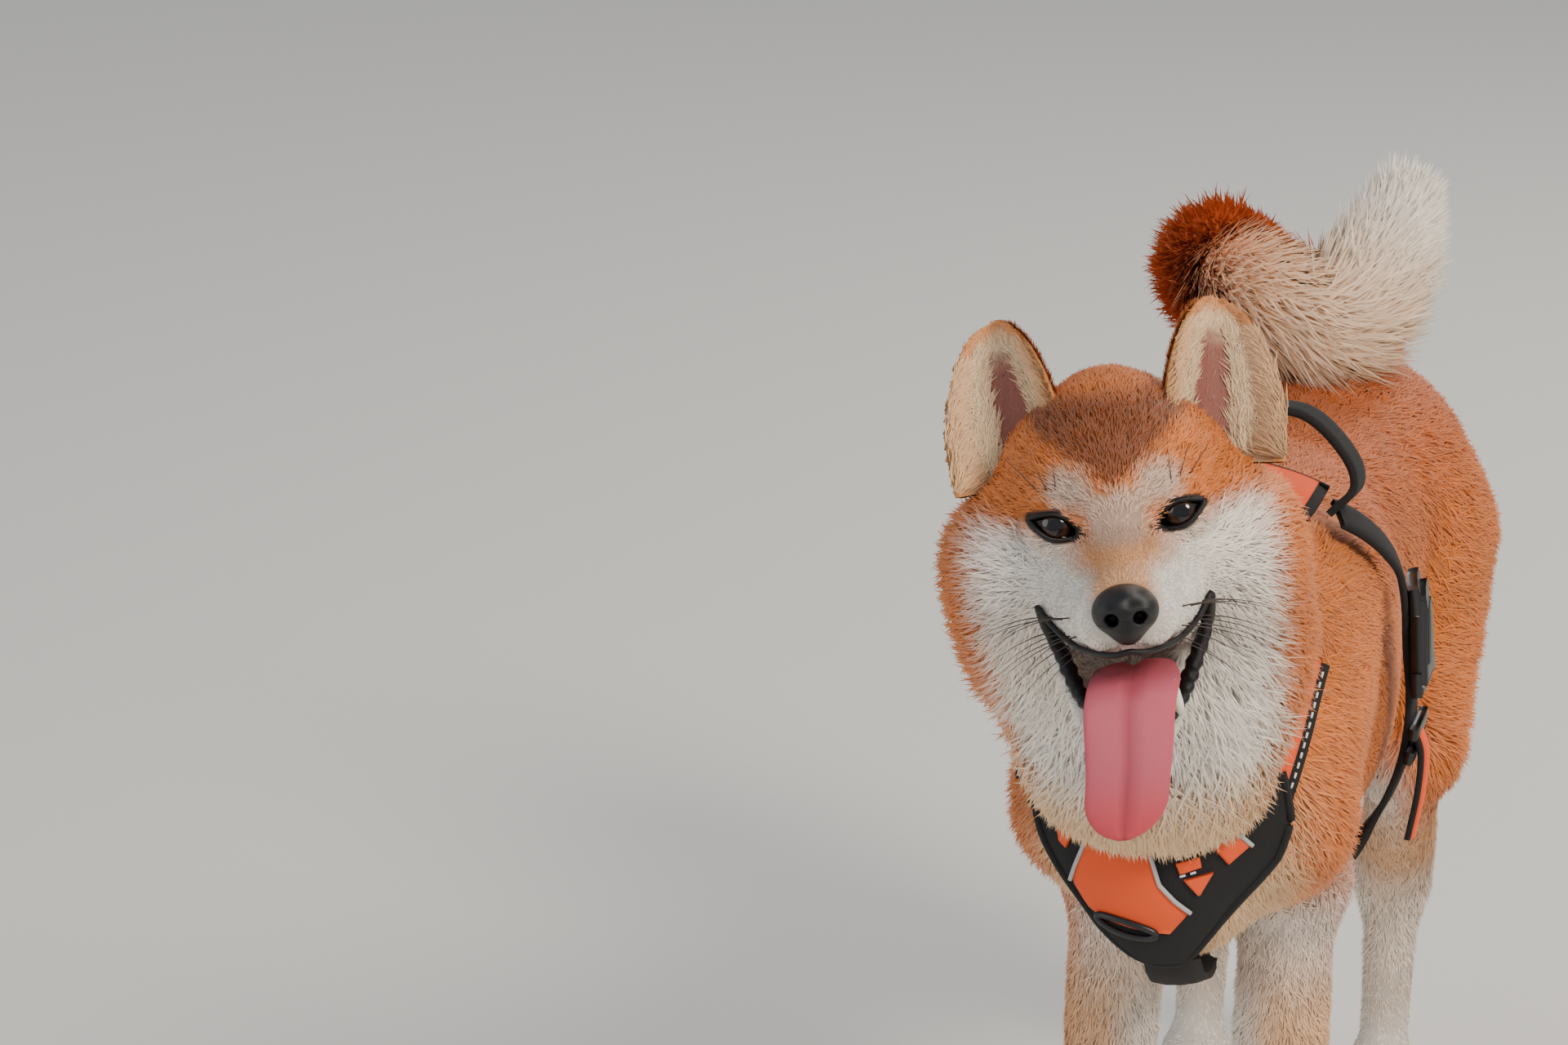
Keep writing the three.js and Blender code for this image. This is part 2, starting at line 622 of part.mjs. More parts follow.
// Tongue: lies in the lower jaw, bends over the lip and hangs
const tonguePath = new THREE.CatmullRomCurve3(
  [[0, 2, -62], [0, -24, -62], [-1, -44, -64], [-3, -55, -71], [-5, -58, -88], [-8, -56, -106], [-11, -54, -122]].map(
    (p) => new THREE.Vector3(...p),
  ),
);
function tongueSolid(grow) {
  const steps = 14;
  const around = 12;
  const rings = [];
  for (let i = 0; i <= steps; i++) {
    const t = i / steps;
    const at = tonguePath.getPointAt(t);
    const along = tonguePath.getTangentAt(t);
    const out = new THREE.Vector3(0, along.z, -along.y);
    const endings = Math.sqrt(1 - Math.pow(Math.max(0, (t - 0.84) / 0.163), 2));
    const w = (TONGUE.halfWidth * (1 + 0.1 * Math.sin(Math.PI * Math.min(1, t * 1.3)))) * endings + grow;
    const h = (TONGUE.thick / 2) * (0.5 + 0.5 * endings) + grow;
    const ring = [];
    for (let k = 0; k < around; k++) {
      const a = (2 * Math.PI * k) / around;
      const groove = k === 9 ? 1.6 * endings : 0;
      const p = at.clone().addScaledVector(out, Math.sin(a) * h + groove);
      p.x += Math.cos(a) * w;
      ring.push(p);
    }
    rings.push(ring);
  }
  return loft(rings);
}
const tongue = tongueSolid(0);
const tongueSpace = tongueSolid(0.35);

// Lower jaw with its lip and two canines
const jawGrid = [places([-46, 46, 8.6]), places([-58, 44, 10]), places([-112, -32, 8.6])];
const jawSkin = skinOf(fieldOf(jawPieces), ...jawGrid);
function canine(s) {
  const g = new THREE.ConeGeometry(2.6, 13, 8);
  g.rotateX(Math.PI / 2 - 1.35);
  g.translate(s * 17.5, -37, -69);
  return solidOf(g);
}
const teeth = [1, -1].map(canine);
const jawSolid = teeth.reduce(
  (solid, tooth) => solid.add(tooth),
  jawSkin.subtract(headGrown).subtract(mouthSpace),
).subtract(tongueSpace);

const eyes = [1, -1].map((s) => eyeBall(s, EYE.radius));
const headSolid = [1, -1]
  .reduce((solid, s) => solid.add(lidRing(s)).subtract(eyeBall(s, EYE.radius + 0.35)), headSkin)
  .subtract(mouthSpace)
  .subtract(tongueSpace);
const headKept = cut(headSolid, OCCIPUT).subtract(skinOf(fieldOf(jawPieces), ...jawGrid, 0.6).intersect(mouthSpace));
head.add(
  meshOf('head', headKept, RED_COAT),
  meshOf('nose', noseSkin.subtract(headGrown).subtract(nostril(1)).subtract(nostril(-1)), SKIN_BLACK),
  meshOf('lower_jaw', jawSolid, CREAM_COAT),
  meshOf('tongue', tongue, TONGUE_PINK),
  meshOf('eye_left', eyes[0], EYE_BROWN),
  meshOf('eye_right', eyes[1], EYE_BROWN),
  meshOf('ear_left', earSolid(1).subtract(headGrown), RED_COAT),
  meshOf('ear_right', earSolid(-1).subtract(headGrown), RED_COAT),
);

// Tail: carried up and curled once over the back
const tailPath = new THREE.CatmullRomCurve3(
  [
    [SWAY + 8, 190, 345],
    [SWAY - 2, 222, 378],
    [-28, 222, 396],
    [-38, 180, 420],
    [-16, 138, 420],
    [14, 126, 410],
    [32, 138, 432],
    [44, 152, 462],
  ].map((p) => new THREE.Vector3(...p)),
);
function tailRadius(t) {
  const end = Math.sqrt(Math.max(0.03, 1 - Math.pow(Math.max(0, (t - 0.72) / 0.285), 2)));
  return TAIL_HAIR * Math.min(1, 0.62 + t * 1.6) * end;
}
const TAIL_BEADS = 28;
const tailField = fieldOf(
  tailPath.getSpacedPoints(TAIL_BEADS).map((p, i) => {
    const r = tailRadius(i / TAIL_BEADS);
    return ball(p.toArray(), [r, r, r], 4);
  }),
);
const tailSkin = skinOf(tailField, places([-88, 88, 15]), places([76, 276, 15]), places([290, 510, 14]));
root.add(meshOf('tail', tailSkin.subtract(bodySpace), RED_COAT));

// Harness: every piece is a sheet laid on the coat, between two heights above it
function onCoat(p, height) {
  const q = p.clone();
  for (let i = 0; i < 12; i++) settle(q, body, height, 40);
  return q;
}
function sheetSolid(rows, inner, outer) {
  const lower = rows.map((row) => row.map((p) => onCoat(p, inner)));
  const upper = rows.map((row) => row.map((p) => onCoat(p, outer)));
  return loft(lower.map((row, i) => [...row, ...[...upper[i]].reverse()]));
}
const vec = ([x, y, z]) => new THREE.Vector3(x, y, z);
const outwards = (p) => slopeOf(body, p).normalize();

// A strap along a path, so many millimetres to each side of it
function strapRows(points, half, steps) {
  const path = new THREE.CatmullRomCurve3(points.map((p) => onCoat(vec(p), STRAP_OFF)));
  const rows = [];
  for (let i = 0; i <= steps; i++) {
    const at = path.getPointAt(i / steps);
    const side = path.getTangentAt(i / steps).cross(outwards(at)).normalize();
    rows.push([-1, 0, 1].map((k) => at.clone().addScaledVector(side, k * half)));
  }
  return rows;
}
function strap(points, half, steps, lift = 0, thick = STRAP_THICK) {
  return sheetSolid(strapRows(points, half, steps), STRAP_OFF + lift, STRAP_OFF + lift + thick);
}
const clear = (solid) => solid.subtract(bodySpace);

// Chest panel: [height, its right edge, its left edge]
const PANEL_EDGES = [
  [186, -3, 14],
  [194, -17, 22],
  [211, -35, 32],
  [232, -50, 45],
  [254, -63, 60],
  [276, -73, 68],
  [304, -80, 68],
];
function panelRows(shrink, low, high, across = 8) {
  const rows = [];
  const steps = 9;
  const edge = (z, k) => {
    const i = Math.max(1, PANEL_EDGES.findIndex((row) => row[0] >= z - 1e-6));
    const [a, b] = [PANEL_EDGES[i - 1], PANEL_EDGES[i]];
    return a[k] + ((b[k] - a[k]) * (z - a[0])) / (b[0] - a[0]);
  };
  for (let r = 0; r <= steps; r++) {
    const z = low + ((high - low) * r) / steps;
    const row = [];
    for (let c = 0; c <= across; c++) {
      const x = THREE.MathUtils.lerp(edge(z, 1) + shrink, edge(z, 2) - shrink, c / across);
      row.push(new THREE.Vector3(x, -215, z));
    }
    rows.push(row);
  }
  return rows;
}
const harness = new THREE.Group();
root.add(harness);
const belowRuff = (solid) => clear(cut(solid, keep(NECK_BASE))).subtract(neckSolid);
const PATCH_LIFT = STRAP_OFF + PANEL_THICK + 1.5;
const panel = sheetSolid(panelRows(0, PANEL_EDGES[0][0], 304), STRAP_OFF, STRAP_OFF + PANEL_THICK);

// Fabric patches on the panel: rows of points, top to bottom
const patchRows = (corners, down, across) => {
  const [a, b, c, d] = corners.map(([x, z]) => new THREE.Vector3(x, -215, z));
  const rows = [];
  for (let r = 0; r <= down; r++) {
    const row = [];
    for (let k = 0; k <= across; k++)
      row.push(a.clone().lerp(b, k / across).lerp(d.clone().lerp(c, k / across), r / down));
    rows.push(row);
  }
  return rows;
};
const patch = (corners, down = 6, across = 6) =>
  sheetSolid(patchRows(corners, down, across), PATCH_LIFT, PATCH_LIFT + 1.6);

// Girth: from the back panel round the ribs to the middle of the belly
const girthPath = (s) => [
  [s * 64, -84, 367],
  [s * 74, -71, 350],
  [s * 81, -59, 325],
  [s * 84, -54, 290],
  [s * 76, -47, 240],
  [s * 46, -42, 200],
  [s * 9, -40, 186],
];
const BACK_ROWS = [-84, -98, -114];
const backRows = BACK_ROWS.map((y) =>
  [-56, -38, -19, 0, 19, 38, 56].map((x) => new THREE.Vector3(x, y, 400)),
);
const bellyPath = [
  [0, -52, 186],
  [0, -90, 184],
  [1, -130, 184],
  [3, -172, 192],
];
const handlePath = new THREE.CatmullRomCurve3(
  [
    [-8, -92, 398],
    [-4, -91, 410],
    [16, -90, 422],
    [40, -91, 423],
    [58, -92, 408],
    [64, -94, 393],
    [53, -96, 380],
  ].map(vec),
);
function bandSolid(path, steps, across, thick, sideOf) {
  const rings = [];
  for (let i = 0; i <= steps; i++) {
    const at = path.getPointAt(i / steps);
    const along = path.getTangentAt(i / steps);
    const side = sideOf(at).clone().addScaledVector(along, -along.dot(sideOf(at))).normalize();
    const up = side.clone().cross(along).normalize();
    const corners = [[-1, -1], [1, -1], [1, 1], [-1, 1]];
    rings.push(
      corners.map(([a, b]) =>
        at.clone().addScaledVector(side, (a * across) / 2).addScaledVector(up, (b * thick) / 2),
      ),
    );
  }
  return loft(rings);
}
const backPanel = sheetSolid(backRows, STRAP_OFF, STRAP_OFF + PANEL_THICK);
const backSpace = sheetSolid(backRows.map(widen), -14, STRAP_OFF + PANEL_THICK + GAP);
const panelSpace = sheetSolid(panelRows(-1.5, PANEL_EDGES[0][0] - 1, 306), -4, STRAP_OFF + PANEL_THICK + 3 * GAP);
function widen(row) {
  const out = row.map((p) => p.clone());
  out[0].x -= GAP;
  out[out.length - 1].x += GAP;
  return out;
}
const shoulderPath = (s) => [
  [s * 52 - 9, -186, 280],
  [s * 55 - 7, -172, 303],
  [s * 57 - 5, -152, 330],
];
const midline = (s) => [[-s, 0, 0], [s * HALF, 0, 0], 0];
const OVER_STRAP = STRAP_THICK + 2 * GAP;
const BUCKLE = { from: [81, -58, 334], to: [84, -55, 296], half: 14, thick: 8 };
const mirrored = (s, [x, y, z]) => [s * x, y, z];
const bar = (s, from, to, half, lift, thick, steps = 4) =>
  strap([mirrored(s, from), mirrored(s, to)], half, steps, lift, thick);

harness.add(
  meshOf('harness_chest_panel', belowRuff(panel), WEBBING_BLACK),
  meshOf('harness_chest_patch', belowRuff(patch([[-39, 282], [9, 282], [20, 225], [-46, 240]])), FABRIC_ORANGE),
  meshOf('harness_side_patch', belowRuff(patch([[34, 284], [56, 284], [50, 256], [26, 262]], 3, 3)), FABRIC_ORANGE),
  meshOf('harness_back_panel', belowRuff(backPanel), WEBBING_BLACK),
  meshOf('harness_belly_strap', clear(strap(bellyPath, STRAP_HALF, 9)).subtract(panelSpace), WEBBING_BLACK),
  meshOf(
    'harness_handle',
    bandSolid(handlePath, 18, 13, 3.4, () => new THREE.Vector3(0.12, 1, 0)).subtract(backSpace),
    WEBBING_BLACK,
  ),
);
for (const [side, s] of [['left', 1], ['right', -1]]) {
  const girth = cut(clear(strap(girthPath(s), STRAP_HALF, 16)).subtract(backSpace), midline(s)).subtract(
    strap(bellyPath, STRAP_HALF + GAP, 8, -3, STRAP_THICK + 4),
  );
  const shoulder = belowRuff(strap(shoulderPath(s), 9, 6)).subtract(panelSpace).subtract(panel);
  harness.add(
    meshOf(`harness_girth_${side}`, girth, WEBBING_BLACK),
    meshOf(`harness_shoulder_${side}`, shoulder, FABRIC_ORANGE),
    meshOf(`harness_buckle_${side}`, bar(s, BUCKLE.from, BUCKLE.to, BUCKLE.half, OVER_STRAP, BUCKLE.thick), PLASTIC_BLACK),
    meshOf(`harness_adjuster_${side}`, bar(s, [83, -53, 276], [81, -51, 262], 14, OVER_STRAP, 5, 2), PLASTIC_BLACK),
  );
}
const endPath = new THREE.CatmullRomCurve3([[88, -55, 272], [91, -55, 262], [90, -55, 244], [86, -54, 222]].map(vec));
harness.add(
  meshOf(
    'harness_strap_end',
    bandSolid(endPath, 8, 13, 2.6, () => new THREE.Vector3(0.1, 1, 0)).subtract(
      bar(1, [83.5, -54, 281], [81, -51, 257], 15, -3, 5 + OVER_STRAP + 3 + GAP, 2),
    ),
    FABRIC_ORANGE,
  ),
);

// The origin is on the floor under the middle of the whole
root.updateMatrixWorld(true);
const middle = new THREE.Box3().setFromObject(root, true).getCenter(new THREE.Vector3());
root.position.set(-middle.x, -middle.y, 0);

export default root;
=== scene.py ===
"""A shiba inu in a walking harness: skin, coat, eyes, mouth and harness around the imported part.

The dog's own frame is in millimetres: it looks along -Y, its left is +X and the floor is z = 0.
place() turns it into the part's frame in metres.
"""
import math

import bpy
import numpy as np
from mathutils import Euler, Matrix, Vector

import openvdb


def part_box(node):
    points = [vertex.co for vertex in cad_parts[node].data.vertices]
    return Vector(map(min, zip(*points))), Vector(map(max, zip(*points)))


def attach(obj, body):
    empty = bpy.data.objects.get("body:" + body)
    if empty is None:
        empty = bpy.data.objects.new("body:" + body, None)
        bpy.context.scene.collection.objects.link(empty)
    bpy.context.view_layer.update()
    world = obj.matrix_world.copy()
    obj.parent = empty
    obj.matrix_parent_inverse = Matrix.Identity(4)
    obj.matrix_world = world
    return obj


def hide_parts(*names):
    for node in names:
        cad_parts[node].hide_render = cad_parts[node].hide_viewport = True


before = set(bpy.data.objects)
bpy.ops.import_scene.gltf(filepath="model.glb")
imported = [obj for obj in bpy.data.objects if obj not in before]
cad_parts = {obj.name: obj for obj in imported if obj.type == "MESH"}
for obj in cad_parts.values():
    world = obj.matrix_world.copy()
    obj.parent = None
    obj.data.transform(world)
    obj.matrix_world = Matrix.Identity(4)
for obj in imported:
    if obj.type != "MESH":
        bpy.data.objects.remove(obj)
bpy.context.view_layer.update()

MM = 0.001
SEED = 11

# Driving dimensions of the dog, as its solids have them
SWAY = 12.0
FORE_X, HIND_X = 38.0, 46.0
HIP, STIFLE, REAR = SWAY, 0.8 * SWAY, -0.1 * SWAY
ELBOW, WRIST = (-90.0, 205.0), (-117.0, 78.0)
KNEE, HOCK = (98.0, 208.0), (197.0, 114.0)
FORE_PAW_Y, HIND_PAW_Y, TOE_REACH = -140.0, 160.0, 22.0
HEAD_AT = Vector((-8.0, -269.0, 420.0))
HEAD_PITCH, HEAD_ROLL, HEAD_YAW = -7.3, -8.9, 11.6
EYE = Vector((25.5, 1.0, 0.0))
EYE_RADIUS = 10.5
NOSE = Vector((0.0, -57.0, -31.0))
LEG_BLEND, NECK_BLEND, HEAD_BLEND, JAW_BLEND = 22.0, 16.0, 20.0, 5.0
SIDES = (("left", 1), ("right", -1))
TAIL_CORE = 15.0

# The head's frame: three.js turns YXZ, so Y is the outermost turn
HEAD = (
    Matrix.Translation(HEAD_AT)
    @ Matrix.Rotation(math.radians(HEAD_ROLL), 4, "Y")
    @ Matrix.Rotation(math.radians(HEAD_PITCH), 4, "X")
    @ Matrix.Rotation(math.radians(HEAD_YAW), 4, "Z")
)
HEAD_INV = HEAD.inverted()
low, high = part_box("eye_left")
SHIFT = (Vector(low) + Vector(high)) / 2 - (HEAD @ EYE) * MM
SHIFT.z = 0.0


def place(points):
    """Dog's millimetres to the part's metres."""
    return np.asarray(points, dtype=np.float64) * MM + np.array(SHIFT)


def turn(points, matrix):
    m = np.array(matrix)
    return np.asarray(points) @ m[:3, :3].T + m[:3, 3]


def unit(v):
    return v / (np.linalg.norm(v, axis=-1, keepdims=True) + 1e-9)


def ring_quads(rows, around):
    """Quads between rows of closed rings."""
    i, k = np.meshgrid(np.arange(rows - 1), np.arange(around), indexing="ij")
    a, b = i * around + k, i * around + (k + 1) % around
    return np.stack([a, b, b + around, a + around], -1).reshape(-1, 4)


def run_of(line):
    """Length of a line up to each of its places."""
    return np.concatenate([[0], np.cumsum(np.linalg.norm(np.diff(line, axis=0), axis=1))])


def on_line(share, run, line):
    """Places on a line, at shares of its run."""
    return np.stack([np.interp(share, run, line[:, c]) for c in range(line.shape[1])], -1)


# Distances: negative inside. A piece is (kind, numbers, blend)
def limb(a, b, ra, rb, blend=20.0, wide=1.0):
    return ("limb", (a, b, ra, rb, wide), blend)


def ball(c, r, blend=20.0):
    return ("ball", (c, r), blend)


def pair(make):
    return [*make(1), *make(-1)]


def distance(piece, x, y, z):
    kind, numbers, _ = piece
    if kind == "ball":
        c, r = numbers
        px, py, pz = (x - c[0]) / r[0], (y - c[1]) / r[1], (z - c[2]) / r[2]
        near = np.sqrt(px * px + py * py + pz * pz)
        slope = np.sqrt((px / r[0]) ** 2 + (py / r[1]) ** 2 + (pz / r[2]) ** 2) + 1e-9
        return near * (near - 1) / slope
    a, b, ra, rb, wide = numbers
    ux, uy, uz = (b[0] - a[0]) / wide, b[1] - a[1], b[2] - a[2]
    px, py, pz = (x - a[0]) / wide, y - a[1], z - a[2]
    t = np.clip((px * ux + py * uy + pz * uz) / (ux * ux + uy * uy + uz * uz), 0, 1)
    return np.sqrt((px - t * ux) ** 2 + (py - t * uy) ** 2 + (pz - t * uz) ** 2) - (ra + (rb - ra) * t)


def soften(a, b, blend):
    h = np.maximum(blend - np.abs(a - b), 0) / blend
    return np.minimum(a, b) - h * h * blend / 4


def field(pieces, x, y, z):
    d = distance(pieces[0], x, y, z)
    for piece in pieces[1:]:
        d = soften(d, distance(piece, x, y, z), piece[2])
    return d


TRUNK = [
    ball((0, -60, 288), (80, 130, 96)),
    limb((0, -112, 345), (0, -20, 338), 44, 46, 24, 1.3),
    ball((-3, -146, 252), (50, 58, 66), 30),
    *pair(lambda s: [
        limb((s * 40, -92, 338), (s * 41, -148, 262), 34, 33, 26),
        limb((s * 42, -146, 255), (s * FORE_X, ELBOW[0], ELBOW[1] + 8), 30, 27, 20),
    ]),
    limb((0, -10, 322), (SWAY, 125, 330), 61, 63, 30, 1.06),
    limb((0, -10, 268), (SWAY, 95, 290), 60, 50, 34, 1.05),
    ball((SWAY, 146, 330), (73, 66, 66), 26),
]


def hind_leg(s):
    x = REAR + s * HIND_X
    return [
        limb((HIP + s * 40, 142, 302), (STIFLE + s * 55, KNEE[0] + 4, KNEE[1] + 12), 49, 29, 26),
        limb((HIP + s * 42, 180, 300), (STIFLE + s * 49, 168, 212), 36, 20, 22),
        limb((STIFLE + s * 53, KNEE[0], KNEE[1] - 2), (x, HOCK[0] - 12, HOCK[1] + 10), 27, 15, 18),
        limb((STIFLE + s * 48, 160, 205), (x, HOCK[0] + 4, HOCK[1] + 12), 20, 12, 34),
        ball((x, HOCK[0] + 2, HOCK[1]), (15, 16, 18), 12),
        limb((x, HOCK[0] - 2, HOCK[1] - 8), (x, HOCK[0] - 18, 36), 15, 14, 14),
    ]


def fore_leg(s):
    x = s * FORE_X
    return [
        limb((x, ELBOW[0] - 2, ELBOW[1]), (x, WRIST[0] + 2, WRIST[1] + 8), 29, 18, 18),
        ball((x, ELBOW[0] + 16, ELBOW[1] + 2), (17, 16, 20), 16),
        ball((x, WRIST[0], WRIST[1]), (19, 19, 20), 12),
        limb((x, WRIST[0], WRIST[1] - 6), (x, WRIST[0] - 12, 34), 17, 16, 12),
    ]


def paw(x, y):
    toes = [
        limb((x + k * 8.5, y - 4, 14), (x + k * 10, y - TOE_REACH + abs(k) * 5, 9.5), 11, 10.5, 4)
        for k in (-1.5, -0.5, 0.5, 1.5)
    ]
    return [limb((x, y + 14, 21), (x, y - 6, 17), 20, 19, 12, 1.05), *toes]


PAWS = [(s * FORE_X, FORE_PAW_Y) for s in (1, -1)] + [(REAR + s * HIND_X, HIND_PAW_Y) for s in (1, -1)]
LEGS = [*hind_leg(1), *fore_leg(1), *hind_leg(-1), *fore_leg(-1)]
NECK = [
    limb((0, -108, 330), (-8, -205, 398), 64, 52, 30),
    ball((-8, -204, 346), (71, 54, 62), 24),
    ball((-6, -196, 302), (55, 46, 46), 22),
]
FACE = [
    ball((0, 46, 12), (54, 56, 46)),
    ball((0, 18, 14), (38, 26, 34), 20),
    *pair(lambda s: [
        ball((s * 20, 12, 13), (17, 16, 13), 10),
        ball((s * 45, 34, -22), (31, 33, 38), 18),
        ball((s * 44, 54, -46), (28, 32, 34), 18),
        limb((s * 24, 16, -26), (s * 12, -24, -30), 21, 16, 14),
        limb((s * 11, -14, -31), (s * 8, -48, -35), 19, 13, 10),
    ]),
    limb((0, -2, -14), (0, -50, -26), 16, 13, 12),
]
JAW = [
    limb((-2, 14, -62), (-3, -34, -85), 24, 14, 12, 1.1),
    *pair(lambda s: [limb((s * 22 - 2, 12, -47), (s * 11.5 - 3, -36, -81), 13, 8, 12)]),
]
MOUTH_SPACE = ball((0, -20, -60), (25, 48, 17))


def tail_line(points, steps):
    """A uniform Catmull-Rom line at even lengths; the solids' own line is centripetal."""
    p = [Vector(q) for q in points]
    p = [2 * p[0] - p[1], *p, 2 * p[-1] - p[-2]]
    out = []
    for i in range(1, len(p) - 2):
        p0, p1, p2, p3 = p[i - 1], p[i], p[i + 1], p[i + 2]
        for k in range(24):
            t = k / 24
            out.append(0.5 * (2 * p1 + (p2 - p0) * t + (2 * p0 - 5 * p1 + 4 * p2 - p3) * t * t
                              + (3 * p1 - p0 - 3 * p2 + p3) * t ** 3))
    out.append(p[-2])
    line = np.array(out)
    run = run_of(line)
    return on_line(np.linspace(0, run[-1], steps + 1), run, line)


TAIL = tail_line([
    (SWAY + 8, 190, 345), (SWAY - 2, 222, 378), (-28, 222, 396), (-38, 180, 420),
    (-16, 138, 420), (14, 126, 410), (32, 138, 432), (44, 152, 462),
], 40)
TAIL_T = np.linspace(0, 1, len(TAIL))


def tail_swell(t):
    end = np.sqrt(np.maximum(0.03, 1 - np.maximum(0, (t - 0.72) / 0.285) ** 2))
    return np.minimum(1, 0.62 + t * 1.6) * end


def tail_distance(x, y, z, radius):
    """Distance to the tail and how far along it the nearest place is."""
    best = np.full(np.broadcast(x, y, z).shape, 1e6, dtype=np.float32)
    along = np.zeros_like(best)
    for i in range(len(TAIL)):
        c, r = TAIL[i], radius * float(tail_swell(TAIL_T[i]))
        d = np.sqrt((x - c[0]) ** 2 + (y - c[1]) ** 2 + (z - c[2]) ** 2) - r
        nearer = d < best
        best = np.where(nearer, d, best)
        along = np.where(nearer, TAIL_T[i], along)
    return best, along


def to_head(x, y, z):
    m = HEAD_INV
    return [m[r][0] * x + m[r][1] * y + m[r][2] * z + m[r][3] for r in range(3)]


def all_fields(x, y, z):
    """Distances in its coat: the whole dog, the dog without its head, and what the harness lies on."""
    trunk = field(TRUNK, x, y, z)
    legs = field(LEGS, x, y, z)
    bare = soften(trunk, legs, LEG_BLEND)
    body = bare
    for px, py in PAWS:
        body = soften(body, field(paw(px, py), x, y, z), 8.0)
    body = np.maximum(body, -z)
    neck = field(NECK, x, y, z)
    hx, hy, hz = to_head(x, y, z)
    below = soften(body, neck, NECK_BLEND)
    return with_head(below, hx, hy, hz), below, bare


def with_head(below, hx, hy, hz):
    """The body's distance with the head joined on, at places in the head's frame."""
    whole = soften(below, field(FACE, hx, hy, hz), HEAD_BLEND)
    whole = soften(whole, field(JAW, hx, hy, hz), JAW_BLEND)
    return np.maximum(whole, -distance(MOUTH_SPACE, hx, hy, hz))


def smooth(low_, high_, v):
    t = np.clip((v - low_) / (high_ - low_), 0, 1)
    return t * t * (3 - 2 * t)


def mix(a, b, t):
    t = np.asarray(t)[..., None]
    return np.asarray(a) * (1 - t) + np.asarray(b) * t


def plain(color, places):
    return np.tile(color, (len(places), 1))


def layered(color, *layers):
    """A colour with others laid over it: each layer is (colour, how much of it)."""
    for over, amount in layers:
        color = mix(color, over, amount)
    return color


# How deep the skin lies under the tips of the coat
def coat_depth(x, y, z):
    hx, hy, hz = to_head(x, y, z)
    back = smooth(-45, 60, hy)
    on_head = smooth(120, 80, np.sqrt(hx ** 2 + (hy - 20) ** 2 + (hz + 10) ** 2))
    head = 1.4 + 5.4 * back * smooth(10, 44, np.abs(hx) + 0.5 * np.maximum(0, -hz) + 0.2 * hy)
    low_leg = smooth(200, 130, z)
    rest = 7.5 - 5.0 * low_leg
    return head * on_head + rest * (1 - on_head)


SKIN_STEP = 2.6
SKIN_LOW, SKIN_HIGH = np.array([-118.0, -352.0, -6.0]), np.array([132.0, 262.0, 486.0])


def grid_axis(i):
    return np.arange(SKIN_LOW[i], SKIN_HIGH[i], SKIN_STEP, dtype=np.float32)


def level_mesh(values, level, origin, step):
    grid = openvdb.FloatGrid(8.0)
    grid.copyFromArray(np.ascontiguousarray(values, dtype=np.float32))
    points, quads = grid.convertToQuads(isovalue=level)
    return points * step + origin, quads


def new_mesh(name, points, faces, smooth_faces=True):
    """A mesh object from the dog's millimetres."""
    mesh = bpy.data.meshes.new(name)
    points = place(points).astype(np.float32)
    faces = np.asarray(faces, dtype=np.int32)
    n = faces.shape[1]
    mesh.vertices.add(len(points))
    mesh.vertices.foreach_set("co", points.ravel())
    mesh.loops.add(faces.size)
    mesh.loops.foreach_set("vertex_index", faces.ravel())
    mesh.polygons.add(len(faces))
    mesh.polygons.foreach_set("loop_start", np.arange(0, faces.size, n, dtype=np.int32))
    mesh.polygons.foreach_set("use_smooth", np.full(len(faces), smooth_faces))
    mesh.update(calc_edges=True)
    obj = bpy.data.objects.new(name, mesh)
    bpy.context.scene.collection.objects.link(obj)
    return obj


def paint(obj, colors):
    layer = obj.data.color_attributes.new("coat", "FLOAT_COLOR", "POINT")
    rgba = np.ones((len(colors), 4), dtype=np.float32)
    rgba[:, :3] = colors
    layer.data.foreach_set("color", rgba.ravel())


def ride(obj, slot, *nodes):
    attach(obj, "root")
    if nodes:
        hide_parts(*nodes)
    return obj


# Markings, linear colours
def srgb(r, g, b):
    c = np.array([r, g, b]) / 255
    return np.where(c < 0.04045, c / 12.92, ((c + 0.055) / 1.055) ** 2.4)


RED = srgb(216, 118, 48)
DEEP_RED = srgb(182, 86, 34)
# Brown of the forehead wedge: partly the coat's darker hair, partly painted shade
WEDGE_BROWN_AND_SHADE = srgb(104, 50, 24)
CREAM = srgb(238, 205, 160)
WHITE = srgb(244, 236, 224)
TAN = srgb(224, 156, 96)
PALE_BROW = srgb(206, 184, 164)
LIP_BLACK = srgb(26, 21, 21)
LEG_TAN = srgb(226, 168, 110)
CHOP_GREY = srgb(120, 108, 100)


